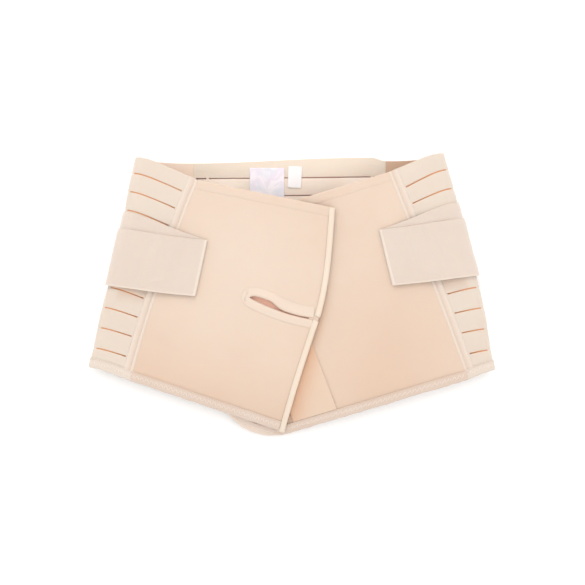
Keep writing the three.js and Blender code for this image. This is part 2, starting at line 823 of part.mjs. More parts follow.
function slitStations() {
  const stop = 1 - slitTapeStop / slitLength;
  const shares = spread(slitLipStart, stop, 10);
  const upper = shares.map((along) => slitLip(along, true, 0)).reverse();
  const lower = shares.map((along) => slitLip(along, false, 0));
  const stations = [...upper, ...lower].map((point, i, all) => {
    const before = all[Math.max(i - 1, 0)];
    const after = all[Math.min(i + 1, all.length - 1)];
    const way = after.clone().sub(before).normalize();
    return { point, out: new THREE.Vector2(-way.y, way.x) };
  });
  const turn = shares.length;
  stations[turn - 1].out = slitUp.clone().negate().lerp(slitWay, slitEndLean).normalize();
  stations[turn].out = slitUp.clone().lerp(slitWay, slitEndLean).normalize();
  const rounding = spread(0.25, 0.75, 2).map((share) => {
    const out = slitUp.clone().multiplyScalar(-Math.cos(Math.PI * share));
    out.addScaledVector(slitWay, Math.sin(Math.PI * share)).normalize();
    const point = slitInner.clone().addScaledVector(out, -slitClosed / 2);
    return { point: point.addScaledVector(slitWay, slitEndSetback * slitLength), out };
  });
  stations.splice(turn, 0, ...rounding);
  return stations;
}

const slitSection = bindingSection(panelThickness, slitLeg);
const slitTape = sweep(slitStations(), slitSection, ({ point, out }, across, offset) => {
  return onPath(frontHeight, point, out, across, offset);
});
addPiece('slit_binding', slitTape, finishes.binding);

// Piping and stay casing beside each front seam

const trimStart = hemLeg + 2 * sewnGap;
for (const [name, side] of Object.entries(sides)) {
  const height = sideHeight * (side.seamTopUp - side.seamHemUp);
  const shares = spread(trimStart / height, 1, 13);
  const besideSeam = (share, fromSeam, offset) => {
    return onStrip(side, { zone: 'front', fromSeam }, share, offset);
  };
  const piping = ridgeSection(pipingWidth, -panelThickness / 2, panelThickness / 2 + pipingRise);
  const pipingSolid = sweep(shares, piping, (share, across, offset) => {
    return besideSeam(share, sewnGap + across, offset);
  });
  addPiece(`${name}_seam_piping`, pipingSolid, finishes.elastic);
  const casingLow = elasticThickness / 2 + sewnGap;
  const casing = ridgeSection(casingWidth, casingLow, casingLow + casingThickness);
  const casingSolid = sweep(shares, casing, (share, across, offset) => {
    return besideSeam(share, casingStart + across, offset);
  });
  addPiece(`${name}_stay_casing`, casingSolid, finishes.elastic);
}

// Straps: sewn under the back, round the crease, folded back on the front and round again

const strapCentre = strapThickness / 2;
const foldRadius = (strapThickness + sewnGap) / 2;
const casingClear = 1; // a strap is up on the casing this far before it
const strapRamp = 12; // length over which a strap climbs onto the casing or comes off it
const seamAllowance = 2; // strap's sewn end stops this far off the back seam

// Offset of the inner strap's inner face from the middle of the cloth below it.
function strapRest(side, spot, y) {
  const overElastic = elasticThickness / 2 + sewnGap;
  if (spot.turn !== undefined) return overElastic + foldSlack * Math.cos(degToRad(spot.turn));
  if (spot.zone === 'back') return overElastic;
  const overCasing = elasticThickness / 2 + 2 * sewnGap + casingThickness;
  const overPanel = panelThickness / 2 + sewnGap;
  const casingOuter = seamInward(side, y) - casingStart - casingWidth;
  const inner = casingOuter + slotStart;
  const onto = smoothstep(spot.inward, casingOuter - strapRamp, casingOuter - casingClear);
  const off = smoothstep(spot.inward, inner, inner + strapRamp);
  return lerp(lerp(overElastic, overCasing, onto), overPanel + sewnGap, off);
}

function strapSolid(side, lay) {
  const lean = degToRad(lay.lean);
  const inWay = new THREE.Vector2(-side.sign * Math.cos(lean), -Math.sin(lean));
  const foldTop = new THREE.Vector2(side.sign * lay.foldX, lay.foldY);
  foldTop.addScaledVector(inWay, -(foldRadius + strapCentre));
  const downWay = new THREE.Vector2(side.sign * Math.sin(lean), -Math.cos(lean));
  const foldPoint = (w) => foldTop.clone().addScaledVector(downWay, strapWidth * w);
  const layers = {
    under: { sideY: lay.underSideY, backDrop: rootDrop, way: -1, centre: strapCentre },
    over: { sideY: lay.overSideY, backDrop: tailDrop, way: 1, centre: strapCentre + 2 * foldRadius },
  };
  const backReach = (layer, y) => {
    return layer.way > 0 ? strapTail : creaseOut(side, y) - backSeamOut(side) - seamAllowance;
  };
  const spotOf = (layer, column, w) => {
    const sideY = layer.sideY - strapWidth * w;
    const depth = foldDepth(sideY);
    const fold = foldPoint(w);
    const zone = column.zone ?? (column.turn > 0 ? 'front' : 'back');
    const onFront = zone === 'front';
    const endY = onFront ? fold.y : sideY - layer.backDrop;
    const reach = onFront ? creaseOut(side, fold.y) - Math.abs(fold.x) : backReach(layer, endY);
    let inward = depth * (1 - Math.cos(degToRad(column.turn ?? 0)));
    if (column.share !== undefined) inward = lerp(depth, reach, column.share);
    if (column.fromCasing !== undefined) {
      inward = seamInward(side, fold.y) - casingStart - casingWidth + column.fromCasing;
    }
    const y = lerp(sideY, endY, rowBend(inward / reach));
    return { spot: column.turn === undefined ? { zone, inward } : { turn: column.turn }, y };
  };
  const flatColumns = [
    { zone: 'back', share: 1 },
    { zone: 'back', share: 0.6 },
    { zone: 'back', share: 0.25 },
    ...[...foldTurns].reverse().map((turn) => ({ turn })),
    { zone: 'front', fromCasing: -strapRamp - casingClear },
    { zone: 'front', fromCasing: -casingClear },
    { zone: 'front', fromCasing: slotStart },
    { zone: 'front', fromCasing: slotStart + strapRamp },
    { zone: 'front', share: 1 },
  ];
  const columns = [
    ...flatColumns.map((column) => ({ layer: layers.under, ...column })),
    ...[45, 90, 135].map((bend) => ({ bend })),
    ...[...flatColumns].reverse().map((column) => ({ layer: layers.over, ...column })),
  ];
  const place = (column, w, offset) => {
    if (column.bend !== undefined) {
      const { spot, y } = spotOf(layers.under, { zone: 'front', share: 1 }, w);
      const radius = foldRadius + offset;
      const angle = degToRad(column.bend);
      const rest = strapRest(side, spot, y) + strapCentre + foldRadius;
      const point = foldPoint(w).addScaledVector(inWay, radius * Math.sin(angle));
      return onHeight(panelHeight(side), point.x, point.y, rest - radius * Math.cos(angle));
    }
    const { spot, y } = spotOf(column.layer, column, w);
    const rest = strapRest(side, spot, y) + column.layer.centre;
    return onSide(side, spot, y, rest + column.layer.way * offset);
  };
  return clothWall(columns, spread(0, 1, 3), place, -strapThickness / 2, strapThickness / 2);
}

for (const [name, side] of Object.entries(sides)) {
  addPiece(`${name}_strap`, strapSolid(side, strapLay[name]), finishes.strap);
}

// Labels sewn inside the back's top edge

function labelSolid(label) {
  const low = backThickness - elasticThickness / 2 + sewnGap;
  const place = (across, along, offset) => {
    const flat = new THREE.Vector2(label.width * (across - 0.5), -label.length * along);
    flat.rotateAround(new THREE.Vector2(), -label.turn);
    return onHeight(backHeight, label.x + flat.x, label.top + flat.y, offset);
  };
  return clothWall(spread(0, 1, 3), spread(0, 1, 4), place, low, low + label.thickness);
}

addPiece('large_label', labelSolid(largeLabel), finishes.largeLabel);
addPiece('small_label', labelSolid(smallLabel), finishes.smallLabel);

// Origin under the middle of the binder, on the surface it lies on
const bounds = new THREE.Box3().setFromObject(binder);
const middle = bounds.getCenter(new THREE.Vector3());
binder.position.set(-middle.x, -middle.y, -bounds.min.z);

export default binder;
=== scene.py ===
import math

import bmesh
import bpy
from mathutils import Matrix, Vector, noise


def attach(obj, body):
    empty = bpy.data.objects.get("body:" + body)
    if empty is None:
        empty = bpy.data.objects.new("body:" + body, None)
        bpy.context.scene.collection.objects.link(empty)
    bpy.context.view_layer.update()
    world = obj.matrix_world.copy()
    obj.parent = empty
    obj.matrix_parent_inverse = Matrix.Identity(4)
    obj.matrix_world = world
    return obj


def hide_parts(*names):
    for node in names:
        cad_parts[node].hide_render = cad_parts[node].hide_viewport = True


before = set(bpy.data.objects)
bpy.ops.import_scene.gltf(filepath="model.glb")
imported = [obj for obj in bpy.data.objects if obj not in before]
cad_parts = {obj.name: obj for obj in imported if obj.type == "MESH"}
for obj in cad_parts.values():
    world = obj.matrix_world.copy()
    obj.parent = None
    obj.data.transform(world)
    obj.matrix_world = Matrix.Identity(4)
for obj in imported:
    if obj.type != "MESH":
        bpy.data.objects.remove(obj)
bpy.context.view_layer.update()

# Shapes are worked out in millimetres as the binder was cut: y = 0 at the side hem,
# x = 0 midway between the side folds. toFrame() brings them to the shared frame in metres.
frameShift = Vector((0.342, -76.9397, 0))


def toFrame(point):
    return (point + frameShift) * 0.001


studio = {
    "lens": 200,
    "sensor": 36,
    "pixel": 1.06,  # millimetres of cloth to one pixel
    "pixels": 585,
    "focusHeight": 20,
    "target": (0.9, 2.35),
    "sky": 1.3,
    "keyPower": 14.5,
    "fillPower": 2.4,
    "clothTone": 0.665,  # cloth colours are this much darker than they look under this bright light
}


def makeStudio():
    scene = bpy.context.scene
    scene.view_settings.view_transform = "Standard"
    world = bpy.data.worlds.new("studioSky")
    world.use_nodes = True
    world.node_tree.nodes["Background"].inputs["Color"].default_value = (1, 0.99, 0.98, 1)
    world.node_tree.nodes["Background"].inputs["Strength"].default_value = studio["sky"]
    scene.world = world

    width = studio["pixels"] * studio["pixel"] * 0.001
    distance = width * studio["lens"] / studio["sensor"]
    camera = bpy.data.cameras.new("overheadCamera")
    camera.lens = studio["lens"]
    camera.sensor_width = studio["sensor"]
    camera.clip_end = 20
    cameraObject = bpy.data.objects.new("overheadCamera", camera)
    x, y = studio["target"]
    cameraObject.location = (x * 0.001, y * 0.001, distance + studio["focusHeight"] * 0.001)
    scene.collection.objects.link(cameraObject)
    scene.camera = cameraObject

    for name, place, size, power in (
        ("keyLight", (-0.35, 1.5, 1.5), 1.2, studio["keyPower"]),
        ("fillLight", (0.9, -0.5, 1.4), 1.4, studio["fillPower"]),
    ):
        light = bpy.data.lights.new(name, "AREA")
        light.shape = "DISK"
        light.size = size
        light.energy = power
        light.color = (1, 0.985, 0.965)
        lamp = bpy.data.objects.new(name, light)
        lamp.location = place
        lamp.rotation_euler = (-Vector(place)).to_track_quat("-Z", "Y").to_euler()
        scene.collection.objects.link(lamp)


def linkPiece(name, bm):
    mesh = bpy.data.meshes.new(name)
    bm.to_mesh(mesh)
    bm.free()
    piece = bpy.data.objects.new(name, mesh)
    bpy.context.scene.collection.objects.link(piece)
    return piece


def makeFloor():
    bm = bmesh.new()
    bmesh.ops.create_grid(bm, x_segments=1, y_segments=1, size=3)
    floor = linkPiece("paleFloor", bm)
    material = bpy.data.materials.new("paleFloor")
    material.use_nodes = True
    shader = material.node_tree.nodes["Principled BSDF"]
    shader.inputs["Base Color"].default_value = (0.96, 0.96, 0.96, 1)
    shader.inputs["Roughness"].default_value = 0.9
    floor.data.materials.append(material)


makeStudio()
makeFloor()
print("studio ready")

# The binder's form, which all its pieces follow.
outline = {
    "hemWidth": 428,
    "topWidth": 327,
    "sideHeight": 222,
    "backWidth": 205,
    "backCrown": 4,
    "lapTip": (-8.2, -69),
    "lapTop": (45.6, 168.5),
    "lapEdgeBulge": 10.8,
    "underEndTop": (-59.4, 158.4),
    "underEndHem": (-94.3, -97.6),
    "underCornerRadius": 61.8,
    "pullSpan": (58, 96, 157, 192),  # where the strap pulls the side fold in
    "bellySpan": (20, 55, 92, 125),  # where it stands out again below the strap
    "backLiftSpan": (15, 42, 184, 204),
}
heights = {
    "foldDepthHem": 8,
    "foldDepthTop": 13,
    "frontRiseHem": 18,
    "frontRiseTop": 28,
    "frontArch": 8,
    "tipDroop": 12,
    "lapStack": 5.9,
    "lapFade": 75,
    "strapLift": 3.6,
    "hemLift": 1.2,
    "rippleSlow": 0.5,
    "rippleFine": 0.16,
}
cloth = {
    "sewnGap": 0.3,
    "elastic": 1.5,
    "back": 1.9,
    "panel": 2.5,
    "tape": 0.9,
    "hemLeg": 10.4,
    "lapLeg": 6,
    "piping": 2.8,
    "casing": 9.5,
    "casingSeen": 7,
    "casingRise": 1.8,
}
leftSide = {
    "sign": -1, "hemOut": 1.003, "topOut": 1.012, "bow": 0.0014, "pull": 2.2, "hemUp": -0.004, "topUp": 1.003,
    "seamHemOut": 0.8, "seamTopOut": 0.606, "seamBow": 0.0089, "seamHemUp": -0.065,
    "seamTopUp": 0.891, "backOut": 1.024, "backTopUp": 0.977, "insideTone": -0.85,
    "rowEnd": 0.96, "belly": 0,
    "slotShift": ((0, 0), (0.09, 2.3), (0.35, 2.2), (0.6, 0.8), (0.84, 0.6), (1, 0)),
}
rightSide = {
    "sign": 1, "hemOut": 0.999, "topOut": 0.989, "bow": 0.007, "pull": 0.4, "hemUp": -0.0155, "topUp": 1.0225,
    "seamHemOut": 0.871, "seamTopOut": 0.6226, "seamBow": 0.0024, "seamHemUp": -0.0605,
    "seamTopUp": 0.93, "backOut": 0.976, "backTopUp": 0.988, "insideTone": 0,
    "rowEnd": 0.72, "belly": 1.5,
    "slotShift": ((0, 0), (0.09, 4.3), (0.3, 4.7), (0.5, 2.4), (0.75, -0.8), (0.84, -2), (0.925, -4.2), (1, 0)),
}
sides = {"left": leftSide, "right": rightSide}
lapEdgeForm = ((0, 0), (0.2, 0.28), (0.4, 0.68), (0.55, 1), (0.7, 0.9), (0.85, 0.5), (1, 0))


def lerp(a, b, share):
    return a + (b - a) * share


def clamp(value, low, high):
    return max(low, min(high, value))


def smoothstep(value, low, high):
    share = clamp((value - low) / (high - low), 0, 1)
    return share * share * (3 - 2 * share)


# Rises from 0 to 1, stays, and falls again.
def hump(value, start, full, fading, end):
    return smoothstep(value, start, full) * (1 - smoothstep(value, fading, end))


def spread(low, high, steps):
    return [lerp(low, high, i / steps) for i in range(steps + 1)]


# Smooth curve through a short table of (share, value).
def curveThrough(table, share):
    share = clamp(share, 0, 1)
    last = len(table) - 1
    i = next((k for k in range(1, last) if share < table[k][0]), last)
    (t0, v0), (t1, v1) = table[i - 1], table[i]
    tBefore, vBefore = table[i - 2] if i > 1 else (t1, v1)
    tAfter, vAfter = table[i + 1] if i < last else (t0, v0)
    weightBefore = (t1 - t0) / 2 / (t0 - tBefore)
    weightAfter = (t1 - t0) / 2 / (tAfter - t1)
    p = (share - t0) / (t1 - t0)
    pp, ppp = p * p, p * p * p
    return (
        weightBefore * (-ppp + 2 * pp - p) * vBefore
        + ((1 + weightBefore) * ppp + (-1.5 - 2 * weightBefore) * pp + (weightBefore - 0.5) * p + 1) * v0
        + ((-1 - weightAfter) * ppp + (1.5 + weightAfter) * pp + 0.5 * p) * v1
        + weightAfter * (ppp - pp) * vAfter
    )


def creaseOut(side, y):
    share = y / outline["sideHeight"]
    half = lerp(outline["hemWidth"] / 2 * side["hemOut"], outline["topWidth"] / 2 * side["topOut"], share)
    pull = side["pull"] * hump(y, *outline["pullSpan"])
    belly = side["belly"] * hump(y, *outline["bellySpan"])
    return half + outline["hemWidth"] * side["bow"] * 4 * clamp(share * (1 - share), 0, 1) - pull + belly


def creaseY(side, share):
    return outline["sideHeight"] * lerp(side["hemUp"], side["topUp"], share)


def foldDepth(y):
    return lerp(heights["foldDepthHem"], heights["foldDepthTop"], clamp(y / outline["sideHeight"], 0, 1))


# Front seam, where the panel ends and the piping begins.
def seamPoint(side, share):
    half = lerp(
        outline["hemWidth"] / 2 * side["seamHemOut"], outline["topWidth"] / 2 * side["seamTopOut"], share
    )
    out = half + outline["hemWidth"] * side["seamBow"] * 4 * share * (1 - share)
    y = outline["sideHeight"] * lerp(side["seamHemUp"], side["seamTopUp"], share)
    return Vector((side["sign"] * out, y))


def seamLength(side):
    return outline["sideHeight"] * (side["seamTopUp"] - side["seamHemUp"])


def seamInward(side, y):
    share = (y / outline["sideHeight"] - side["seamHemUp"]) / (side["seamTopUp"] - side["seamHemUp"])
    return creaseOut(side, y) - abs(seamPoint(side, share).x)


def backSeamOut(side):
    return outline["backWidth"] / 2 * side["backOut"]


# Lapping edge, share 0 at its tip and 1 at its top.
def lapEdge(share):
    point = Vector(outline["lapTip"]).lerp(Vector(outline["lapTop"]), share)
    return point + Vector((outline["lapEdgeBulge"] * curveThrough(lapEdgeForm, share), 0))


# The lapping edge's way up and its way out.
def lapEdgeWays(share):
    way = (lapEdge(share + 0.002) - lapEdge(share - 0.002)).normalized()
    return way, Vector((way.y, -way.x))


def lapEdgeShare(y):
    low, high = outline["lapTip"][1], outline["lapTop"][1]
    return (y - low) / (high - low)


def besideLap(x, y):
    return x - lapEdge(lapEdgeShare(y)).x


def backHeight(x, y):
    beside = smoothstep(abs(x), 45, 68)
    along = hump(y, *outline["backLiftSpan"])
    overHem = 1 - smoothstep(y, cloth["hemLeg"], cloth["hemLeg"] + 20)
    return cloth["elastic"] / 2 + heights["strapLift"] * beside * along + heights["hemLift"] * overHem


# Soft unevenness of the lying front, the same for every piece on it.
def ripple(x, y):
    slow = noise.noise(Vector((x / 74, y / 58, 3.1)))
    fine = noise.noise(Vector((x / 24, y / 19, 8.4)))
    return heights["rippleSlow"] * slow + heights["rippleFine"] * fine


def frontHeight(x, y):
    side = leftSide if x < 0 else rightSide
    across = clamp(abs(x) / (creaseOut(side, y) - foldDepth(y)), 0, 1)
    share = clamp(y / outline["sideHeight"], 0, 1)
    rise = lerp(heights["frontRiseHem"], heights["frontRiseTop"], share)
    arch = heights["frontArch"] * (1 - across ** 2) ** 2
    droop = heights["tipDroop"] * (min(y, 0) / outline["lapTip"][1]) ** 2
    return rise + arch - droop + ripple(x, y)


def lowerHeight(x, y):
    sunk = 1 - smoothstep(besideLap(x, y), 0, heights["lapFade"])
    return frontHeight(x, y) - heights["lapStack"] * sunk


def panelHeight(side):
    return frontHeight if side["sign"] < 0 else lowerHeight


def onHeight(height, x, y, offset):
    slopeX = height(x + 0.5, y) - height(x - 0.5, y)
    slopeY = height(x, y + 0.5) - height(x, y - 0.5)
    normal = Vector((-slopeX, -slopeY, 1)).normalized()
    return Vector((x, y, height(x, y))) + normal * offset


# A spot on a side is ("front" or "back", distance inward from the crease) or
# ("turn", degrees): 90 where the front begins, -90 where the back does.
def sideMiddle(side, spot, y):
    zone, value = spot
    out, depth = creaseOut(side, y), foldDepth(y)
    if zone != "turn":
        x = side["sign"] * (out - value)
        return Vector((x, y, panelHeight(side)(x, y) if zone == "front" else backHeight(x, y)))
    startX = side["sign"] * (out - depth)
    low, high = backHeight(startX, y), panelHeight(side)(startX, y)
    angle = math.radians(value)
    x = side["sign"] * (out - depth * (1 - math.cos(angle)))
    return Vector((x, y, (low + high) / 2 + (high - low) / 2 * math.sin(angle)))


def nearbySpot(spot, step):
    zone, value = spot
    return (zone, value - step if zone == "back" else value + step)


def onSide(side, spot, y, offset):
    across = sideMiddle(side, nearbySpot(spot, 0.5), y) - sideMiddle(side, nearbySpot(spot, -0.5), y)
    along = sideMiddle(side, spot, y + 0.5) - sideMiddle(side, spot, y - 0.5)
    normal = across.cross(along).normalized() * -side["sign"]
    return sideMiddle(side, spot, y) + normal * offset


def rowBend(inwardShare):
    ease = 0.2
    return (math.hypot(inwardShare, ease) - ease) / (math.hypot(1, ease) - ease)


# A sheet of cloth: a grid laid through place(column, row), with open cells cut out.
# Its own map runs along the cloth in metres, so weaves keep their real size.
def makeSheet(name, columns, rows, place, thickness, isOpen=None, edge=0.3, tint=None, zone=None):
    bm = bmesh.new()
    shade = bm.verts.layers.float.new("shade")
    weave = bm.loops.layers.uv.new("weave")
    lastColumn, lastRow = len(columns) - 1, len(rows) - 1
    bmesh.ops.create_grid(bm, x_segments=lastColumn, y_segments=lastRow, size=1)
    spots = {}
    for vert in bm.verts:
        i = round((vert.co.x + 1) / 2 * lastColumn)
        j = round((vert.co.y + 1) / 2 * lastRow)
        spots[vert] = (i, j)
        vert.co = toFrame(place(columns[i], rows[j]))
        vert[shade] = tint(columns[i], rows[j]) if tint else 0
    at = {spot: vert.co for vert, spot in spots.items()}
    acrossMap, alongMap = [0], [0]
    for i in range(lastColumn):
        acrossMap.append(acrossMap[-1] + (at[i + 1, lastRow // 2] - at[i, lastRow // 2]).length)
    for j in range(lastRow):
        alongMap.append(alongMap[-1] + (at[lastColumn // 2, j + 1] - at[lastColumn // 2, j]).length)
    for face in bm.faces:
        for loop in face.loops:
            i, j = spots[loop.vert]
            loop[weave].uv = (acrossMap[i], alongMap[j])
    cut = []
    for face in bm.faces:
        i = min(spots[vert][0] for vert in face.verts)
        j = min(spots[vert][1] for vert in face.verts)
        face.smooth = True
        if zone:
            face.material_index = zone(i, j)
        if isOpen and isOpen(i, j):
            cut.append(face)
    bm.normal_update()
    topFace = max(bm.faces, key=lambda face: face.calc_center_median().z)
    if topFace.normal.z < 0:  # the outer side of every sheet is the one that faces up
        bmesh.ops.reverse_faces(bm, faces=bm.faces[:])
    bmesh.ops.delete(bm, geom=cut, context="FACES")
    piece = linkPiece(name, bm)
    wall = piece.modifiers.new("wall", "SOLIDIFY")
    wall.thickness = thickness * 0.001
    wall.offset = 0
    if edge:
        soft = piece.modifiers.new("softEdge", "BEVEL")
        soft.width = edge * 0.001
        soft.segments = 2
        soft.limit_method = "ANGLE"
        soft.angle_limit = math.radians(50)
    return piece


# Stitches are short stretched threads, each (middle, way, up, length, thickness).
def makeStitches(name, stitches):
    bm = bmesh.new()
    for point, way, up, length, thickness in stitches:
        made = bmesh.ops.create_icosphere(bm, subdivisions=1, radius=0.5)["verts"]
        side = up.cross(way).normalized()
        over = way.cross(side).normalized()
        for vert in made:
            x, y, z = vert.co
            vert.co = toFrame(point + way * (x * length) + side * (y * thickness) + over * (z * thickness))
    for face in bm.faces:
        face.smooth = True
    return linkPiece(name, bm)


# A line of (point, way up) along marks on the cloth, raised off it.
def threadLine(place, marks, rise):
    line = []
    for mark in marks:
        point = place(mark, rise)
        line.append((point, (place(mark, rise + 1) - point).normalized()))
    return line


def lineLengths(line):
    lengths = [0]
    for (a, _), (b, _) in zip(line, line[1:]):
        lengths.append(lengths[-1] + (b - a).length)
    return lengths


# The same line with points at the given shares of its length.
def alongLine(line, shares):
    lengths = lineLengths(line)
    spots = []
    for share in shares:
        mark = clamp(share, 0, 1) * lengths[-1]
        i = next((k for k in range(1, len(lengths) - 1) if mark < lengths[k]), len(lengths) - 1)
        local = (mark - lengths[i - 1]) / (lengths[i] - lengths[i - 1])
        (a, wayA), (b, wayB) = line[i - 1], line[i]
        spots.append((a.lerp(b, local), wayA.lerp(wayB, local).normalized()))
    return spots


def straightStitches(line, pitch, stitch, thickness):
    spots = alongLine(line, spread(0, 1, 2 * round(lineLengths(line)[-1] / pitch)))
    stitches = []
    for before, middle, after in zip(spots[0:-2:2], spots[1:-1:2], spots[2::2]):
        way = (after[0] - before[0]).normalized()
        stitches.append((middle[0], way, middle[1], stitch, thickness))
    return stitches


def zigzagStitches(inner, outer, pitch, thickness):
    count = round(lineLengths(inner)[-1] / pitch)
    lines = [alongLine(line, spread(0, 1, count)) for line in (inner, outer)]
    stitches = []
    for k in range(count):
        (a, upA), (b, upB) = lines[k % 2][k], lines[(k + 1) % 2][k + 1]
        way, up = (b - a).normalized(), (upA + upB).normalized()
        stitches.append(((a + b) / 2, way, up, (b - a).length, thickness))
    return stitches


plainLook = {"roughness": 0.8, "sheen": 0.2, "glow": 0.1, "pitch": (1.1, 0.55), "bump": 0.25, "fuzz": 0.15}
looks = {
    "panel": {
        "colour": (0.91, 0.745, 0.615), "deep": (0.87, 0.675, 0.54), "warm": (0.82, 0.56, 0.4),
        "pale": (0.95, 0.82, 0.7), "roughness": 0.9, "sheen": 0.25, "glow": 0.3,
        "pitch": (0.9, 0.7), "fuzz": 0.35,
    },
    "elastic": {
        "colour": (0.885, 0.78, 0.67), "deep": (0.85, 0.71, 0.605), "warm": (0.72, 0.44, 0.3),
        "sheen": 0.15, "glow": 0.25, "bump": 0.3,
    },
    # The elastic's inner faces: painted shade, a darker, warmer copy of the elastic.
    "shadedInside": {
        "colour": (0.84, 0.6, 0.44), "deep": (0.76, 0.5, 0.34), "pale": (1.15, 0.96, 0.8),
        "roughness": 0.85, "sheen": 0.1, "glow": 0.2, "bump": 0.3,
    },
    # The back is the same elastic painted lighter: painted light that lifts the shade of the recess under the
    # front.
    "back": {
        "colour": (1.04, 0.905, 0.765), "deep": (1.0, 0.845, 0.705), "pale": (1.1, 0.94, 0.81),
        "sheen": 0.15, "glow": 0.25, "bump": 0.3,
    },
    # Painted shade in the slots: a dark warm colour on the edges that roll down into them.
    "slotShade": {
        "colour": (0.84, 0.42, 0.22), "deep": (0.72, 0.33, 0.17), "roughness": 0.9, "sheen": 0, "bump": 0.2,
    },
    "backSlotShade": {
        "colour": (0.5, 0.3, 0.26), "deep": (0.42, 0.24, 0.21), "roughness": 0.9, "sheen": 0, "bump": 0.2,
    },
    "casing": {
        "colour": (0.94, 0.8, 0.69), "deep": (0.9, 0.74, 0.63), "warm": (0.78, 0.52, 0.4),
        "glow": 0.15, "pitch": (0.6, 1.1), "bump": 0.3, "fuzz": 0.2,
    },
    "strap": {
        "colour": (0.86, 0.735, 0.64), "deep": (0.82, 0.69, 0.595), "warm": (0.74, 0.56, 0.45),
        "pale": (0.97, 0.87, 0.76), "roughness": 0.62, "sheen": 0.3, "glow": 0.25,
        "pitch": (1.5, 0.6), "fuzz": 0.1,
    },
    "hem": {
        "colour": (0.86, 0.71, 0.6), "deep": (0.79, 0.61, 0.5), "pale": (1.05, 0.87, 0.74),
        "roughness": 0.88, "glow": 0.08, "pitch": (0.8, 1.6), "bump": 0.4, "fuzz": 0.25,
    },
    "paleHem": {
        "colour": (0.9, 0.79, 0.69), "deep": (0.84, 0.71, 0.6),
        "roughness": 0.88, "glow": 0.08, "pitch": (0.8, 1.6), "bump": 0.4, "fuzz": 0.25,
    },
    "binding": {
        "colour": (0.98, 0.85, 0.71), "deep": (0.93, 0.77, 0.62),
        "roughness": 0.7, "glow": 0.08, "pitch": (0.7, 0.7), "fuzz": 0.1,
    },
    "slitTape": {
        "colour": (0.94, 0.775, 0.65), "deep": (0.9, 0.72, 0.585), "warm": (0.86, 0.59, 0.46),
        "roughness": 0.75, "glow": 0.08, "pitch": (0.7, 0.7), "fuzz": 0.1,
    },
    "patch": {
        "colour": (0.9, 0.7, 0.55), "deep": (0.86, 0.64, 0.48), "warm": (0.82, 0.5, 0.33),
        "roughness": 0.95, "sheen": 0.4, "pitch": (1.3, 1.3), "bump": 0.5, "fuzz": 0.8,
    },
    # Painted shade inside the slit, warm and pink as if lit by light bounced through the cloth.
    "slitShade": {
        "colour": (1.2, 0.76, 0.6), "deep": (1.1, 0.64, 0.49),
        "roughness": 0.9, "pitch": (0.9, 0.7), "fuzz": 0.35,
    },
    "hook": {
        "colour": (0.8, 0.66, 0.55), "deep": (0.7, 0.56, 0.46),
        "roughness": 0.5, "sheen": 0, "glow": 0, "pitch": (1.4, 1.4), "bump": 0.8, "fuzz": 0.1,
    },
    "label": {
        "colour": (1.04, 0.93, 1.05), "deep": (1.06, 0.97, 1.05),
        "clouds": (((0.97, 0.97, 1.05), 38), ((1.14, 1.07, 1.12), 55)),
        "roughness": 0.42, "glow": 0, "pitch": (0.5, 0.35), "bump": 0.15, "fuzz": 0.05,
    },
    "size_tab": {
        "colour": (1.14, 1.1, 1.1), "deep": (1.1, 1.06, 1.06),
        "roughness": 0.45, "sheen": 0.15, "glow": 0, "pitch": (0.5, 0.35), "bump": 0.15, "fuzz": 0.05,
    },
}
threadColours = {
    "paleThread": (0.96, 0.8, 0.67),
    "pinkThread": (0.68, 0.44, 0.33),
    "hemThread": (1.16, 1.0, 0.9),
    "labelThread": (1.1, 1.04, 1.06),
}


def setInputs(tree, node, inputs):
    for key, value in inputs.items():
        if isinstance(value, bpy.types.NodeSocket):
            tree.links.new(value, node.inputs[key])
        else:
            node.inputs[key].default_value = value


def addNode(tree, kind, inputs, **settings):
    node = tree.nodes.new("ShaderNode" + kind)
    for key, value in settings.items():
        setattr(node, key, value)
    setInputs(tree, node, inputs)
    return node.outputs


def addNoise(tree, scale, detail, **inputs):
    place = addNode(tree, "TexCoord", {})["Object"]
    return addNode(tree, "TexNoise", {"Vector": place, "Scale": scale, "Detail": detail, **inputs})["Fac"]


def mixColours(tree, factor, first, second):
    return addNode(tree, "Mix", {"Factor": factor, "A": first, "B": second}, data_type="RGBA")["Result"]


# Base colour under the bright light, for the cloth's own colours and for painted light and shade alike.
def dyedAndPainted(colour, tone=1):
    return (*[c * studio["clothTone"] * tone for c in colour], 1)


def makeMaterial(name):
    material = bpy.data.materials.new(name)
    material.use_nodes = True
    return material, material.node_tree, material.node_tree.nodes["Principled BSDF"]
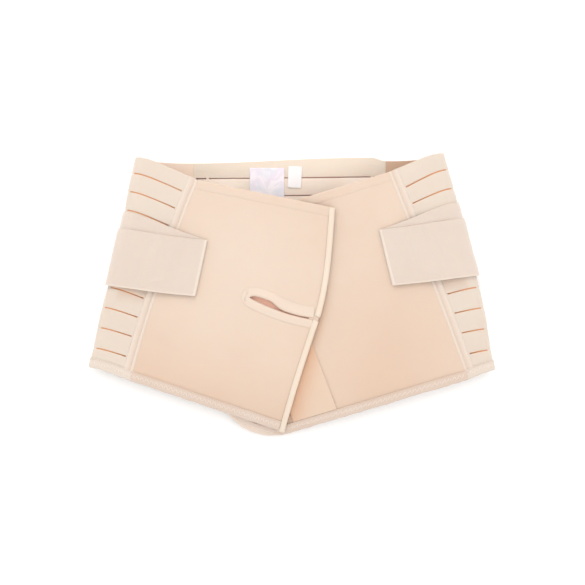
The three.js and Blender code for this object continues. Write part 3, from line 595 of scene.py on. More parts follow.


# Woven or knitted cloth: crossing ribs from the piece's own map, soft colour drift and fuzz.
# The attribute "shade" paints shade and light into the colour: above 0 towards the warm colour (painted shade,
# and a painted glow on the slit tape), below 0 towards the pale one (painted light and highlights).
def makeClothMaterial(name, look):
    material, tree, shader = makeMaterial(name)
    weave = addNode(tree, "UVMap", {}, uv_map="weave")["UV"]
    ribs = []
    for axis, pitch in zip("XY", look["pitch"]):
        wave = {"Vector": weave, "Scale": 314 / pitch, "Distortion": 0.6, "Detail": 1, "Detail Scale": 0.4}
        ribs.append(addNode(tree, "TexWave", wave, bands_direction=axis)["Fac"])
    crossing = addNode(tree, "Math", {0: ribs[0], 1: ribs[1]}, operation="MULTIPLY")[0]
    drift = {"Value": addNoise(tree, 14, 3, Roughness=0.55), "From Min": 0.3, "From Max": 0.75, "To Max": 0.5}
    drifted = addNode(tree, "MapRange", drift)["Result"]
    ribbed = addNode(tree, "Math", {0: crossing, 1: -0.35, 2: drifted}, operation="MULTIPLY_ADD")[0]
    depth = addNode(tree, "Math", {0: ribbed, 1: 0.3}, operation="ADD", use_clamp=True)[0]
    colour = mixColours(tree, depth, dyedAndPainted(look["colour"]), dyedAndPainted(look["deep"]))
    for cloudColour, scale in look.get("clouds", ()):
        cloud = addNoise(tree, scale, 3, Roughness=0.6, Distortion=1.5)
        share = addNode(tree, "MapRange", {"Value": cloud, "From Min": 0.46, "From Max": 0.58})["Result"]
        colour = mixColours(tree, share, colour, dyedAndPainted(cloudColour))
    shade = addNode(tree, "Attribute", {}, attribute_name="shade")["Fac"]
    for tone, end in ((look.get("warm", look["deep"]), 1), (look.get("pale", look["colour"]), -1)):
        reach = addNode(tree, "MapRange", {"Value": shade, "From Max": end})["Result"]
        colour = mixColours(tree, reach, colour, dyedAndPainted(tone))
    fuzz = addNoise(tree, 1400, 4, Roughness=0.7)
    relief = addNode(tree, "Math", {0: fuzz, 1: look["fuzz"], 2: crossing}, operation="MULTIPLY_ADD")[0]
    bump = addNode(tree, "Bump", {"Height": relief, "Strength": look["bump"], "Distance": 0.00025})["Normal"]
    setInputs(tree, shader, {
        "Base Color": colour, "Normal": bump, "Roughness": look["roughness"], "Sheen Weight": look["sheen"],
        "Sheen Roughness": 0.5, "Specular IOR Level": 0.25, "Subsurface Weight": look["glow"],
        "Subsurface Radius": (1, 0.55, 0.35), "Subsurface Scale": 0.0025,
    })
    return material


def makeThreadMaterial(name, colour):
    material, tree, shader = makeMaterial(name)
    twisted = mixColours(tree, addNoise(tree, 900, 2), dyedAndPainted(colour), dyedAndPainted(colour, 0.82))
    setInputs(tree, shader, {"Base Color": twisted, "Roughness": 0.6, "Sheen Weight": 0.2})
    return material


finishes = {name: makeClothMaterial(name + "Cloth", {**plainLook, **look}) for name, look in looks.items()}
finishes.update({name: makeThreadMaterial(name, colour) for name, colour in threadColours.items()})


# Gives a piece its look, which is its slot's own unless another is named.
def dress(piece, slotName, *nodes, look=None):
    piece.data.materials.append(finishes[look or slotName])
    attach(piece, "root")
    if nodes:
        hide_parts(*nodes)
    return piece


panelCut = {
    "leftColumns": 104, "rightColumns": 116, "rows": 132,
    "lipClearance": 1.6, "hemInset": 1.2,
    "turnedTop": 8.5, "turnedRise": 0.35, "stitchInset": 0.9,
    "stitch": (2.4, 1.7, 0.3),  # pitch, length and thickness
    "hemShade": 0.45,
    "litSpot": {"tone": 0.35, "x": -45, "y": 120, "width": 60, "height": 55},
    "lowShade": {"tone": 0.5, "x": 95, "width": 75},
    "lapShade": {"tone": 0.8, "reach": 9},
}


# The top edge is turned down double, which shows as a low step across the panel.
def turnedRise(side, share):
    fromStep = (1 - share) * seamLength(side) - panelCut["turnedTop"]
    return panelCut["turnedRise"] * (1 - smoothstep(fromStep, -0.5, 0.5))


def panelRows(side):
    step = [1 - (panelCut["turnedTop"] + away) / seamLength(side) for away in (0.5, 0.25, 0, -0.25, -0.5)]
    return sorted(spread(0, 1, panelCut["rows"]) + step)


def inFromHem(side, share):
    return lerp(panelCut["hemInset"] / seamLength(side), 1, share)


def leftPanelPlan(across, share):
    start, end = seamPoint(leftSide, share), lapEdge(share)
    return start.lerp(end, across * (1 - panelCut["hemInset"] / (end - start).length))


# Lower panel's free edge from its rounded corner to its top, with a way out at each point.
def lowerRounding(inset):
    seamEnd = seamPoint(rightSide, 0)
    corner, top = Vector(outline["underEndHem"]), Vector(outline["underEndTop"])
    hemWay, endWay = (seamEnd - corner).normalized(), (top - corner).normalized()
    half = math.acos(hemWay.dot(endWay)) / 2
    centre = corner + (hemWay + endWay).normalized() * (outline["underCornerRadius"] / math.sin(half))
    hemOut = Vector((hemWay.y, -hemWay.x))
    endOut = Vector((-endWay.y, endWay.x))
    start, sweep = math.atan2(hemOut.y, hemOut.x), hemOut.angle(endOut)
    radius = outline["underCornerRadius"] - inset
    path = [(seamEnd - hemOut * inset, hemOut)]
    for share in spread(0, 1, 24):
        angle = start - sweep * share
        out = Vector((math.cos(angle), math.sin(angle)))
        path.append((centre + out * radius, out))
    path.append((top - endOut * inset, endOut))
    return path


slit = {
    "inner": (-44.5, 74.2),
    "mouth": (29.2, 50.4),
    "bow": 3.6,
    "lens": 5.2,
    "closed": 0.5,
    "leg": 9.5,
    "tapeStop": 6.9,
    "tape": 0.5,
    "settle": 0.58,
    "upperWidening": 0.3,
    "lipLift": 1.5,
    "lipReach": 16,
    "stitch": (2.3, 1.7, 0.3),
    "stitchRow": 8.5,
    "tackAway": 4,
    "tackHalf": 5,
    "tackStitches": 9,
    "tackStitch": (3.2, 0.45),
    "tackSunk": 0.2,
}
slitForm = (
    (0, 0), (0.05, 0.5), (0.12, 0.8), (0.21, 0.97), (0.3, 0.98), (0.37, 0.56), (0.44, 0.2), (0.52, 0), (1, 0),
)
slitInner, slitMouth = Vector(slit["inner"]), Vector(slit["mouth"])
slitLength = (slitMouth - slitInner).length
slitWay = (slitMouth - slitInner).normalized()
slitUp = Vector((-slitWay.y, slitWay.x))


def slitLip(along, isUpper, outward):
    bow = -slit["bow"] * 4 * along * (1 - along)
    opening = slit["lens"] * curveThrough(slitForm, along) if isUpper else 0
    lift = slit["closed"] / 2 + opening + outward
    return slitInner + slitWay * (along * slitLength) + slitUp * (bow + (lift if isUpper else -lift))


# How far a spot of the panel lies from the slit's opening, 0 in it.
def slitClearance(x, y):
    away = Vector((x, y)) - slitInner
    along = away.dot(slitWay) / slitLength
    if along > 1.1:
        return 99
    if along < 0:
        return away.length
    low, high = ((slitLip(min(along, 1), isUpper, 0) - slitInner).dot(slitUp) for isUpper in (False, True))
    up = away.dot(slitUp)
    return max(low - up, up - high, 0)


# The upper lip of the slit stands a little proud where it gapes.
def lipRise(x, y):
    away = Vector((x, y)) - slitInner
    along = clamp(away.dot(slitWay) / slitLength, 0, 1)
    above = (Vector((x, y)) - slitLip(along, True, 0)).dot(slitUp)
    if above < -2:
        return 0
    return slit["lipLift"] * curveThrough(slitForm, along) * (1 - smoothstep(above, 0, slit["lipReach"]))


def leftHeight(x, y):
    return frontHeight(x, y) + lipRise(x, y)


def makeLeftPanel():
    columns = spread(-0.002, 1, panelCut["leftColumns"])
    rows = [inFromHem(leftSide, share) for share in panelRows(leftSide)]

    def place(across, share):
        x, y = leftPanelPlan(across, share)
        return onHeight(leftHeight, x, y, turnedRise(leftSide, share))

    # Painted shade, darker and warmer towards the hem, and a painted pool of light on the middle of the panel.
    def tint(across, share):
        x, y = leftPanelPlan(across, share)
        spot = panelCut["litSpot"]
        away = ((x - spot["x"]) / spot["width"]) ** 2 + ((y - spot["y"]) / spot["height"]) ** 2
        return panelCut["hemShade"] * (1 - smoothstep(share, 0, 0.5)) ** 2 - spot["tone"] * math.exp(-away)

    def isOpen(i, j):
        spot = leftPanelPlan((columns[i] + columns[i + 1]) / 2, (rows[j] + rows[j + 1]) / 2)
        beforeMouth = (spot - slitInner).dot(slitWay) < slitLength - cloth["lapLeg"] - slit["leg"] / 2
        return beforeMouth and slitClearance(*spot) < panelCut["lipClearance"]

    return makeSheet("leftFrontPanel", columns, rows, place, cloth["panel"], isOpen, tint=tint)


# Painted warm shadow on what lies beside the lap's lower half.
def lapShade(x, y, tone, reach):
    return tone * math.exp(-((max(besideLap(x, y), 0) / reach) ** 2)) * (1 - smoothstep(y, 20, 130))


rightPanelEnd = lowerRounding(panelCut["hemInset"])[1:]


def rightPanelPlan(across, share):
    start = seamPoint(rightSide, inFromHem(rightSide, share))
    (end, _), = alongLine(rightPanelEnd, [share])
    return start.lerp(end, across)


def makeRightPanel():
    rows = panelRows(rightSide)

    def place(across, share):
        x, y = rightPanelPlan(across, share)
        return onHeight(lowerHeight, x, y, turnedRise(rightSide, share))

    # Painted shade, darker and warmer towards the hem, and the painted shadow beside the lap edge.
    def tint(across, share):
        x, y = rightPanelPlan(across, share)
        low = panelCut["lowShade"]
        away = (x - low["x"]) / low["width"]
        lowTone = low["tone"] * math.exp(-(away ** 2)) * (1 - smoothstep(share, 0.05, 0.75))
        return max(lapShade(x, y, **panelCut["lapShade"]), lowTone)

    columns = spread(-0.002, 1, panelCut["rightColumns"])
    return makeSheet("rightFrontPanel", columns, rows, place, cloth["panel"], tint=tint)


leftPanel = dress(makeLeftPanel(), "panel", "left_front_panel")
rightPanel = dress(makeRightPanel(), "panel", "right_front_panel")


def turnedRow(side, height, plan):
    share = 1 - (panelCut["turnedTop"] - panelCut["stitchInset"]) / seamLength(side)
    top = cloth["panel"] / 2 + panelCut["turnedRise"]
    marks = spread(0.01, side["rowEnd"], 60)
    line = threadLine(lambda across, rise: onHeight(height, *plan(across, share), rise), marks, top)
    return straightStitches(line, *panelCut["stitch"])


turnedRows = turnedRow(leftSide, leftHeight, leftPanelPlan)
turnedRows += turnedRow(rightSide, lowerHeight, rightPanelPlan)
turnedStitches = dress(makeStitches("turnedTopStitches", turnedRows), "panel", look="paleThread")
print("front panels made")


strap = {
    "width": 60.5,
    "thickness": 1.5,
    "tail": 100,
    "rootDrop": 10,
    "tailDrop": 36,
    "foldSlack": 0.3,
    "rows": 40,
    "tuck": 0.6,
    "unevenness": 0.22,
    "shade": 0.32,  # painted shadow on the elastic just below it
    "shadeDrop": 0.12,
    "shadeSpan": (-3, 0, 5, 17),
}
strapLay = {
    "left": {
        "foldX": 89, "foldY": 134.6, "underSideY": 164.8, "overSideY": 146.8, "lean": 12.3,
        "underSag": 1.9, "overSag": 1.5,
        "wrinkles": (
            (-142, 91.5, 9, 2.2, 0.6, 0.2), (-136, 86.5, 7, 2, 0.45, -0.15), (-170, 118, 12, 3, 0.3, 0.3),
        ),
    },
    "right": {
        "foldX": 92.2, "foldY": 145.5, "underSideY": 174.6, "overSideY": 157.2, "lean": 13.3,
        "underSag": 1.6, "overSag": 0.9,
        "wrinkles": (
            (148, 100.5, 9, 2.2, 0.6, -0.2), (141, 96, 7, 2, 0.45, 0.1), (170, 128, 12, 3, 0.3, -0.25),
        ),
    },
}
strips = {
    "slots": 10,
    "slotWidth": 1.3,
    "firstSlot": 21,
    "pitch": 21.6,
    "pitchLoss": 0.29,
    "slotMargin": 1.5,
    "seamMargin": 3,
    "crown": 0.12,
    "lip": 0.22,
    "edge": 0.26,
    "closing": 0.36,
    "roll": 0.9,
    "drop": 0.5,
    "bridgeInset": 13.5,
    "bridgeWidth": 3,
    "edgeTurnLow": 58,
    "edgeTurnTop": 36,
    "backRow": 8.5,
    "backStitch": (2.5, 1.8, 0.3),
    "backPaleSpan": (0.068, 0.084),
    "backClosing": 0.62,  # the back's top slot has closed beside the labels
    "backClosingX": 31,
    "backClosingReach": 19,
}
slotHeights = [
    strips["firstSlot"] + i * strips["pitch"] - strips["pitchLoss"] * i * (i - 1) / 2
    for i in range(strips["slots"])
]
casingStart = cloth["piping"] + 2 * cloth["sewnGap"]
slotStart = casingStart + cloth["casingSeen"] + strips["slotMargin"]
clothInset = cloth["tape"] + cloth["sewnGap"]

# Rows of every strip, each (share of the height, offset of the cloth, share by which it can
# close the slot). Its edges roll down into the slots, which leaves them narrower below than
# they look from above.
stripRows = []
stripEdges = [clothInset]
for slotHeight in slotHeights:
    stripEdges += [slotHeight - strips["slotWidth"] / 2, slotHeight + strips["slotWidth"] / 2]
stripEdges.append(outline["sideHeight"])


def edgeRows(edge, way, isSewn):
    rows = []
    for away, sink in ((-strips["lip"], 1), (strips["edge"], 0.4), (strips["roll"], 0.1), (3, 0)):
        closing = -way if away < 0 and not isSewn else 0
        away, sink = (max(away, 0), 0) if isSewn else (away, sink)
        rows.append(((edge + way * away) / outline["sideHeight"], -sink * strips["drop"], closing))
    return rows


for low, high in zip(stripEdges[::2], stripEdges[1::2]):
    stripRows += edgeRows(low, 1, low == stripEdges[0])
    for share in (0.33, 0.5, 0.67):
        stripRows.append((lerp(low, high, share) / outline["sideHeight"], strips["crown"], 0))
    stripRows += reversed(edgeRows(high, -1, high == stripEdges[-1]))
rowsPerStrip = 11


# Rows whose faces carry the painted slot shade.
def isSlotEdge(j):
    k = j % rowsPerStrip
    return 1 if (k == 0 and j > 1) or (k == 9 and j < len(stripRows) - 3) else 0


# Columns of a side: ("seam", outward of the front seam), ("fold", share to the fold),
# ("turn", degrees), ("away", share from the fold), ("backSeam", outward of the back seam).
sideColumns = (
    [("seam", value) for value in spread(casingStart, slotStart, 5)]
    + [("fold", share) for share in spread(0, 1, 10)[1:-1]]
    + [("turn", turn) for turn in spread(90, -90, 24)]
    + [("away", share) for share in spread(0, 1, 12)[1:]]
    + [("backSeam", value) for value in (strips["seamMargin"] / 2, -0.3)]
)
firstOpen = 5
lastOpen = len(sideColumns) - 3


def stripEndY(side, zone, share):
    if zone == "front":
        return seamPoint(side, share).y + curveThrough(side["slotShift"], share)
    return share * side["backTopUp"] * outline["sideHeight"]


def stripReach(side, zone, share):
    y = stripEndY(side, zone, share)
    return seamInward(side, y) if zone == "front" else creaseOut(side, y) - backSeamOut(side)


def stripY(side, zone, inward, share):
    inwardShare = inward / stripReach(side, zone, share)
    bend = rowBend(inwardShare) if zone == "front" else 1 - (1 - inwardShare) ** 3
    return lerp(creaseY(side, share), stripEndY(side, zone, share), bend)


def stripSpot(side, column, share):
    kind, value = column
    depth = foldDepth(creaseY(side, share))
    if kind == "turn":
        inward = depth * (1 - math.cos(math.radians(value)))
        return column, stripY(side, "front" if value > 0 else "back", inward, share)
    zone = "front" if kind in ("seam", "fold") else "back"
    reach = stripReach(side, zone, share)
    if kind == "fold":
        inward = lerp(reach - slotStart, depth, value)
    elif kind == "away":
        inward = lerp(depth, reach - strips["seamMargin"], value)
    else:
        inward = reach - value
    return (zone, inward), stripY(side, zone, inward, share)


def onStrip(side, column, share, offset):
    spot, y = stripSpot(side, column, share)
    return onSide(side, spot, y, offset)


# The slots gape at the seam and close round the fold.
def slotClosing(column):
    kind, value = column
    if kind == "fold":
        return strips["closing"] * smoothstep(value, 0.25, 1)
    return strips["closing"] if kind == "turn" else 0


def isBesideSlot(column):
    return column[0] not in ("seam", "backSeam")


def isSlotRow(j):
    return j % rowsPerStrip == rowsPerStrip - 1


def makeSideElastic(name, side):
    def place(column, row):
        share, offset, closing = row
        share += closing * slotClosing(column) / outline["sideHeight"]
        return onStrip(side, column, share, offset if isBesideSlot(column) else 0)

    def isOpen(i, j):
        return isSlotRow(j) and firstOpen <= i < lastOpen

    def zone(i, j):
        kind, value = sideColumns[i]
        lastTurn = lerp(strips["edgeTurnLow"], strips["edgeTurnTop"], stripRows[j][0])
        isShown = kind == "fold" or (kind == "turn" and value > lastTurn) or i == firstOpen
        return isSlotEdge(j) if firstOpen <= i < lastOpen and isShown else 0

    def tint(column, row):
        # Inner side: painted light that makes the left side's painted inside shade paler.
        if column[0] in ("away", "backSeam"):
            return side["insideTone"]
        # Painted shadow on the elastic just below the strap.
        (spotZone, inward), y = stripSpot(side, column, row[0])
        if spotZone == "turn":
            return 0
        below = strapLay[name]["overSideY"] - strap["width"] - strap["shadeDrop"] * inward - y
        return strap["shade"] * hump(below, *strap["shadeSpan"]) * smoothstep(inward, 3, 18)

    return makeSheet(
        name + "SideElastic", sideColumns, stripRows, place, cloth["elastic"], isOpen, tint=tint, zone=zone
    )


backLeft, backRight = -backSeamOut(leftSide), backSeamOut(rightSide)


def backY(x, share):
    across = (x - backLeft) / (backRight - backLeft)
    top = outline["sideHeight"] * lerp(leftSide["backTopUp"], rightSide["backTopUp"], across)
    crown = outline["backCrown"] * hump(across, 0.05, 0.8, 0.93, 1)
    return top * share + crown * smoothstep(share, slotHeights[-1] / outline["sideHeight"], 1)


# Painted light below the strip along its top, where the front shades the back.
def backTint(x, row):
    return -smoothstep(1 - row[0], *strips["backPaleSpan"]) * smoothstep(x - backLeft, -8, 40)


def makeBackElastic():
    margin, inset, bridge = strips["seamMargin"], strips["bridgeInset"], strips["bridgeWidth"]
    marks = [backLeft + 0.15, backLeft + margin, backLeft + inset, backLeft + inset + bridge]
    columns = marks + spread(marks[-1], backRight - inset - bridge, 48)[1:]
    columns += [backRight - inset, backRight - margin, backRight - 0.15]
    sewn = (0, 2, len(columns) - 4, len(columns) - 2)

    def place(x, row):
        share, offset, closing = row
        if share > 0.85:
            away = (x - strips["backClosingX"]) / strips["backClosingReach"]
            share += closing * strips["backClosing"] * math.exp(-(away ** 4)) / outline["sideHeight"]
        fromEnd = min(x - backLeft, backRight - x)
        offset = 0 if fromEnd < margin + 0.01 or -0.01 < fromEnd - inset < bridge + 0.01 else offset
        lift = (cloth["back"] - cloth["elastic"]) / 2
        return onHeight(backHeight, x, backY(x, share), lift + offset * 0.8)

    return makeSheet(
        "backElastic", columns, stripRows, place, cloth["back"],
        lambda i, j: isSlotRow(j) and i not in sewn,
        tint=backTint,
        zone=lambda i, j: 0 if i in sewn else isSlotEdge(j),
    )


sideElastics = {
    name: dress(makeSideElastic(name, side), "elastic", name + "_side_elastic")
    for name, side in sides.items()
}
# The back elastic takes the lighter back look, which is painted light on the elastic.
backElastic = dress(makeBackElastic(), "elastic", "back_elastic", look="back")
for piece in sideElastics.values():  # painted slot shade, then the inner face's painted shade and its painted slot shade
    for look in ("slotShade", "shadedInside", "slotShade"):
        piece.data.materials.append(finishes[look])
    piece.modifiers["wall"].material_offset = 2
backElastic.data.materials.append(finishes["backSlotShade"])
backLine = threadLine(
    lambda x, rise: onHeight(backHeight, x, backY(x, 1) - strips["backRow"], rise),
    spread(backLeft + 2, backRight - 2, 50), cloth["back"] - cloth["elastic"] / 2,
)
backRows = straightStitches(backLine, *strips["backStitch"])
backStitches = dress(makeStitches("backTopStitches", backRows), "elastic", look="paleThread")
print("elastic made")


foldRadius = (strap["thickness"] + cloth["sewnGap"]) / 2
fullCasing = casingStart + cloth["casing"] + strips["slotMargin"]


def strapRest(side, spot, y):
    zone, value = spot
    overElastic = cloth["elastic"] / 2 + cloth["sewnGap"]
    if zone == "turn":
        return overElastic + strap["foldSlack"] * math.cos(math.radians(value))
    if zone == "back":
        return overElastic
    overCasing = cloth["elastic"] / 2 + 2 * cloth["sewnGap"] + cloth["casingRise"]
    overPanel = cloth["panel"] / 2 + cloth["sewnGap"]
    casingOuter = seamInward(side, y) - casingStart - cloth["casing"]
    onto = smoothstep(value, casingOuter - 12, casingOuter - 1)
    off = smoothstep(value, casingOuter + fullCasing, casingOuter + fullCasing + 12)
    return lerp(lerp(overElastic, overCasing, onto), overPanel + cloth["sewnGap"], off)


# Small pulls in the strap, each (x, y, length, width, height, lean).
def strapWrinkles(lay, x, y):
    rise = strap["unevenness"] * noise.noise(Vector((x / 21, y / 9, 5.5)))
    for atX, atY, length, width, height, lean in lay["wrinkles"]:
        along = (x - atX) * math.cos(lean) + (y - atY) * math.sin(lean)
        across = (y - atY) * math.cos(lean) - (x - atX) * math.sin(lean)
        rise += height * math.exp(-((along / length) ** 2) - (across / width) ** 2)
    return rise


def makeStrap(name, side, lay):
    half = strap["thickness"] / 2
    lean = math.radians(lay["lean"])
    sign = side["sign"]
    inWay = Vector((-sign * math.cos(lean), -math.sin(lean)))
    downWay = Vector((sign * math.sin(lean), -math.cos(lean)))
    foldTop = Vector((sign * lay["foldX"], lay["foldY"])) - inWay * (foldRadius + half)
    under = {"sideY": lay["underSideY"], "drop": strap["rootDrop"], "sag": lay["underSag"], "centre": half}
    over = {"sideY": lay["overSideY"], "drop": strap["tailDrop"], "sag": lay["overSag"]}
    over["centre"] = half + 2 * foldRadius

    def spotOf(layer, column, width):
        kind, value = column
        sideY = layer["sideY"] - strap["width"] * width
        depth = foldDepth(sideY)
        fold = foldTop + downWay * (strap["width"] * width)
        onFront = kind in ("outer", "casing", "front") or (kind == "turn" and value > 0)
        endY = fold.y if onFront else sideY - layer["drop"]
        if onFront:
            reach = creaseOut(side, fold.y) - abs(fold.x)
        elif layer is over:
            reach = strap["tail"]
        else:
            reach = creaseOut(side, endY) - backSeamOut(side) - 2
        casingOuter = seamInward(side, fold.y) - casingStart - cloth["casing"]
        if kind == "turn":
            inward = depth * (1 - math.cos(math.radians(value)))
        elif kind == "outer":
            inward = lerp(depth, casingOuter - 13, value)
        elif kind == "casing":
            inward = casingOuter + value
        elif kind == "front":
            inward = lerp(casingOuter + fullCasing + 12, reach, value)
        else:
            inward = lerp(depth, reach, value)
        away = clamp(inward / reach, 0, 1)
        sag = layer["sag"] * 4 * away * (1 - away) if onFront else 0
        y = lerp(sideY, endY, rowBend(inward / reach)) - sag
        return (column if kind == "turn" else ("front" if onFront else "back", inward)), y

    flat = (
        [("back", share) for share in spread(1, 0, 14)[:-1]]
        + [("turn", turn) for turn in spread(-90, 90, 20)]
        + [("outer", share) for share in spread(0, 1, 5)[1:-1]]
        + [("casing", value) for value in (-13, -10, -7, -4, -1, 3, 7, 11, fullCasing, 17, 20, 23, 26.4)]
        + [("front", share) for share in spread(0, 0.9, 8)[1:] + [0.94, 0.96, 0.98, 1]]
    )
    columns = (
        [(under, column) for column in flat]
        + [("bend", angle) for angle in spread(0, 180, 10)[1:-1]]
        + [(over, column) for column in reversed(flat)]
    )

    def place(column, width):
        layer, column = column
        if layer == "bend":
            spot, y = spotOf(under, ("front", 1), width)
            angle = math.radians(column)
            rest = strapRest(side, spot, y) + half + foldRadius
            point = foldTop + downWay * (strap["width"] * width) + inWay * (foldRadius * math.sin(angle))
            return onHeight(panelHeight(side), point.x, point.y, rest - foldRadius * math.cos(angle))
        spot, y = spotOf(layer, column, width)
        wrinkles = strapWrinkles(lay, side["sign"] * (creaseOut(side, y) - spot[1]), y)
        lift = wrinkles if layer is over and spot[0] == "front" else 0
        if spot[0] == "turn":  # its upper edge hugs the fold
            tuck = 1 - smoothstep(strap["width"] * width, 0, 6)
            lift = -strap["tuck"] * tuck * math.cos(math.radians(spot[1]))
        return onSide(side, spot, y, strapRest(side, spot, y) + layer["centre"] + lift)

    # Painted highlight along the strap's fold end and along the over layer's lower edge.
    def tint(column, width):
        layer, (kind, value) = column if column[0] != "bend" else (None, ("bend", 0))
        highlightEnd = kind == "bend" or (kind == "front" and value > 0.95)
        highlightEdge = smoothstep(width, 0.966, 0.98) if layer is not under else 0
        return -max(0.6 if highlightEnd else 0, 0.4 * highlightEdge)

    rows = sorted(spread(0, 1, strap["rows"]) + [0.012, 0.966, 0.98, 0.99])
    return makeSheet(name + "Strap", columns, rows, place, strap["thickness"], tint=tint)


straps = {
    name: dress(makeStrap(name, side, strapLay[name]), "strap", name + "_strap")
    for name, side in sides.items()
}
print("straps made")


# Path across a folded tape from its upper leg round the nose to its lower leg: (across, offset).
def tapePath(clothThickness, leg):
    rise = clothThickness / 2 + cloth["sewnGap"] + cloth["tape"] / 2
    nose = cloth["tape"] / 2
    path = [(across, rise) for across in spread(-leg, -rise - nose, 6)]
    for angle in spread(90, -90, 8)[1:-1]:
        turn = math.radians(angle)
        path.append((-rise - nose + rise * math.cos(turn), rise * math.sin(turn)))
    return path + [(across, -rise) for across in spread(-rise - nose, -leg, 6)]


def makeTape(name, stations, place, clothThickness, leg, thickness=None, tint=None):
    path = tapePath(clothThickness, leg)
    wall = thickness or cloth["tape"]
    return makeSheet(
        name, stations, path, lambda station, spot: place(station, *spot), wall, edge=0.15, tint=tint
    )


def onPath(height, point, out, across, offset):
    return onHeight(height, point.x + out.x * across, point.y + out.y * across, offset)


hem = {
    "wave": 0.7,
    "seamThin": 0.76,  # the front's hems thin down and turn to meet the sides' level
    "thinReach": 9,
    "turnReach": 15,
    "paintedLight": 0.45,  # of the lower hem: painted light that lifts its shade where it shows to the left of the lap
    "stitchRow": 9.4,
    "stitch": (2.6, 2.0, 0.4),
    "zigzagInner": 8,
    "zigzagOuter": 3.4,
    "zigzag": (2.7, 0.55),
}


# The hem's outer edge waves a little.
def hemWave(point, across):
    fine = noise.noise(Vector((point.x / 7, point.y / 7, 12.7)))
    slow = noise.noise(Vector((point.x / 19, 0, 2.2)))
    return across + hem["wave"] * (fine + 0.6 * slow) * smoothstep(across, -6, 0)


leftHemStart, leftHemEnd = seamPoint(leftSide, 0), lapEdge(0)
leftHemWay = (leftHemEnd - leftHemStart).normalized()
leftHemOut = Vector((leftHemWay.y, -leftHemWay.x))
leftHemStop = (leftHemEnd - leftHemStart).length - cloth["lapLeg"] - 2 * cloth["sewnGap"]
rightHemPath = lowerRounding(0)


def seamThinning(distance):
    return lerp(hem["seamThin"], 1, smoothstep(distance, 0, hem["thinReach"]))


def seamTurned(out, distance):
    return Vector((0, -1)).lerp(out, smoothstep(distance, 0, hem["turnReach"])).normalized()


def onLeftHem(along, across, offset):
    point = leftHemStart + leftHemWay * along
    out = seamTurned(leftHemOut, along)
    return onPath(frontHeight, point, out, hemWave(point, across), offset * seamThinning(along))


def onRightHem(station, across, offset):
    point, out = station
    distance = (point - rightHemPath[0][0]).length
    out = seamTurned(out, distance)
    return onPath(lowerHeight, point, out, hemWave(point, across), offset * seamThinning(distance))


def onSideHem(side, column, across, offset):
    spot, y = stripSpot(side, column, 0)
    across = hemWave(Vector((sideMiddle(side, spot, y).x, y)), across)
    if spot[0] == "back":
        spot = ("back", spot[1] + creaseOut(side, y - across) - creaseOut(side, y))
    return onSide(side, spot, y - across, offset)


def onBackHem(x, across, offset):
    middle = (cloth["back"] - cloth["elastic"]) / 2
    return onHeight(backHeight, x, -across, middle + offset)


# Painted light on the lower hem's corner beside the lap.
def rightHemTint(station, spot):
    return -hem["paintedLight"] * smoothstep(-station[0].x, 5, 35)


hemLeg = cloth["hemLeg"]
rightHemWall = cloth["panel"] + cloth["sewnGap"]
hemColumns = [("seam", 0.02)] + list(sideColumns[1:])
rightHemStations = alongLine(rightHemPath, spread(0, 1, 150))
leftHem = makeTape("leftFrontHem", spread(0.02, leftHemStop, 90), onLeftHem, cloth["panel"], hemLeg)
rightHem = makeTape("rightFrontHem", rightHemStations, onRightHem, rightHemWall, hemLeg, tint=rightHemTint)
onHems = {name: lambda *mark, side=side: onSideHem(side, *mark) for name, side in sides.items()}
sideHems = {
    name: makeTape(name + "SideHem", hemColumns, onHem, cloth["elastic"], hemLeg)
    for name, onHem in onHems.items()
}
backHem = makeTape("backHem", spread(backLeft + 0.15, backRight - 0.15, 60), onBackHem, cloth["back"], hemLeg)
dress(leftHem, "hem", "left_front_hem")
dress(rightHem, "hem", "right_front_hem")
dress(backHem, "hem", "back_hem", look="paleHem")
for name, sideHem in sideHems.items():
    dress(sideHem, "hem", name + "_side_hem", look="paleHem")


# Stitches along a hem: a straight row at its upper edge and a zigzag down its middle.
def hemStitches(place, marks, clothThickness):
    top = clothThickness / 2 + cloth["sewnGap"] + cloth["tape"]
    lines = [
        threadLine(lambda mark, rise, across=across: place(mark, -across, rise), marks, top)
        for across in (hem["stitchRow"], hem["zigzagInner"], hem["zigzagOuter"])
    ]
    return straightStitches(lines[0], *hem["stitch"]), zigzagStitches(*lines[1:], *hem["zigzag"])


hemRows, hemZigzags = [], []
for place, marks, clothThickness in (
    (onLeftHem, spread(2, leftHemStop - 1, 60), cloth["panel"]),
    (onRightHem, alongLine(rightHemPath, spread(0.008, 0.66, 110)), rightHemWall),
    *((onHem, hemColumns[:26], cloth["elastic"]) for onHem in onHems.values()),
):
    row, zigzag = hemStitches(place, marks, clothThickness)
    hemRows += row
    hemZigzags += zigzag
hemRowStitches = dress(makeStitches("hemRowStitches", hemRows), "hem", look="pinkThread")
hemZigzagStitches = dress(makeStitches("hemZigzagStitches", hemZigzags), "hem", look="hemThread")


lap = {"stitchRow": 4.9, "stitch": (2.4, 1.7, 0.3), "mouthLean": 0.14, "mouthGap": 2}


def makeLapTape(name, low, high, leanLow, leanHigh):
    def place(along, across, offset):
        share = lerp(low, high, along)
        way, out = lapEdgeWays(share)
        point = lapEdge(share) - way * (lerp(leanLow, leanHigh, along) * across)
        return onPath(frontHeight, point, out, across, offset)

    return makeTape(name, spread(0, 1, 70), place, cloth["panel"], cloth["lapLeg"])


mouthGap = slit["closed"] / 2 + lap["mouthGap"]
mouthHigh, mouthLow = (lapEdgeShare(slit["mouth"][1] + away) for away in (mouthGap, -mouthGap))
lapUpper = makeLapTape("lapBindingUpper", mouthHigh, 1, lap["mouthLean"], 0)
lapLower = makeLapTape("lapBindingLower", 0, mouthLow, 0, lap["mouthLean"])
dress(lapUpper, "binding", "lap_binding_upper")
dress(lapLower, "binding", "lap_binding_lower")


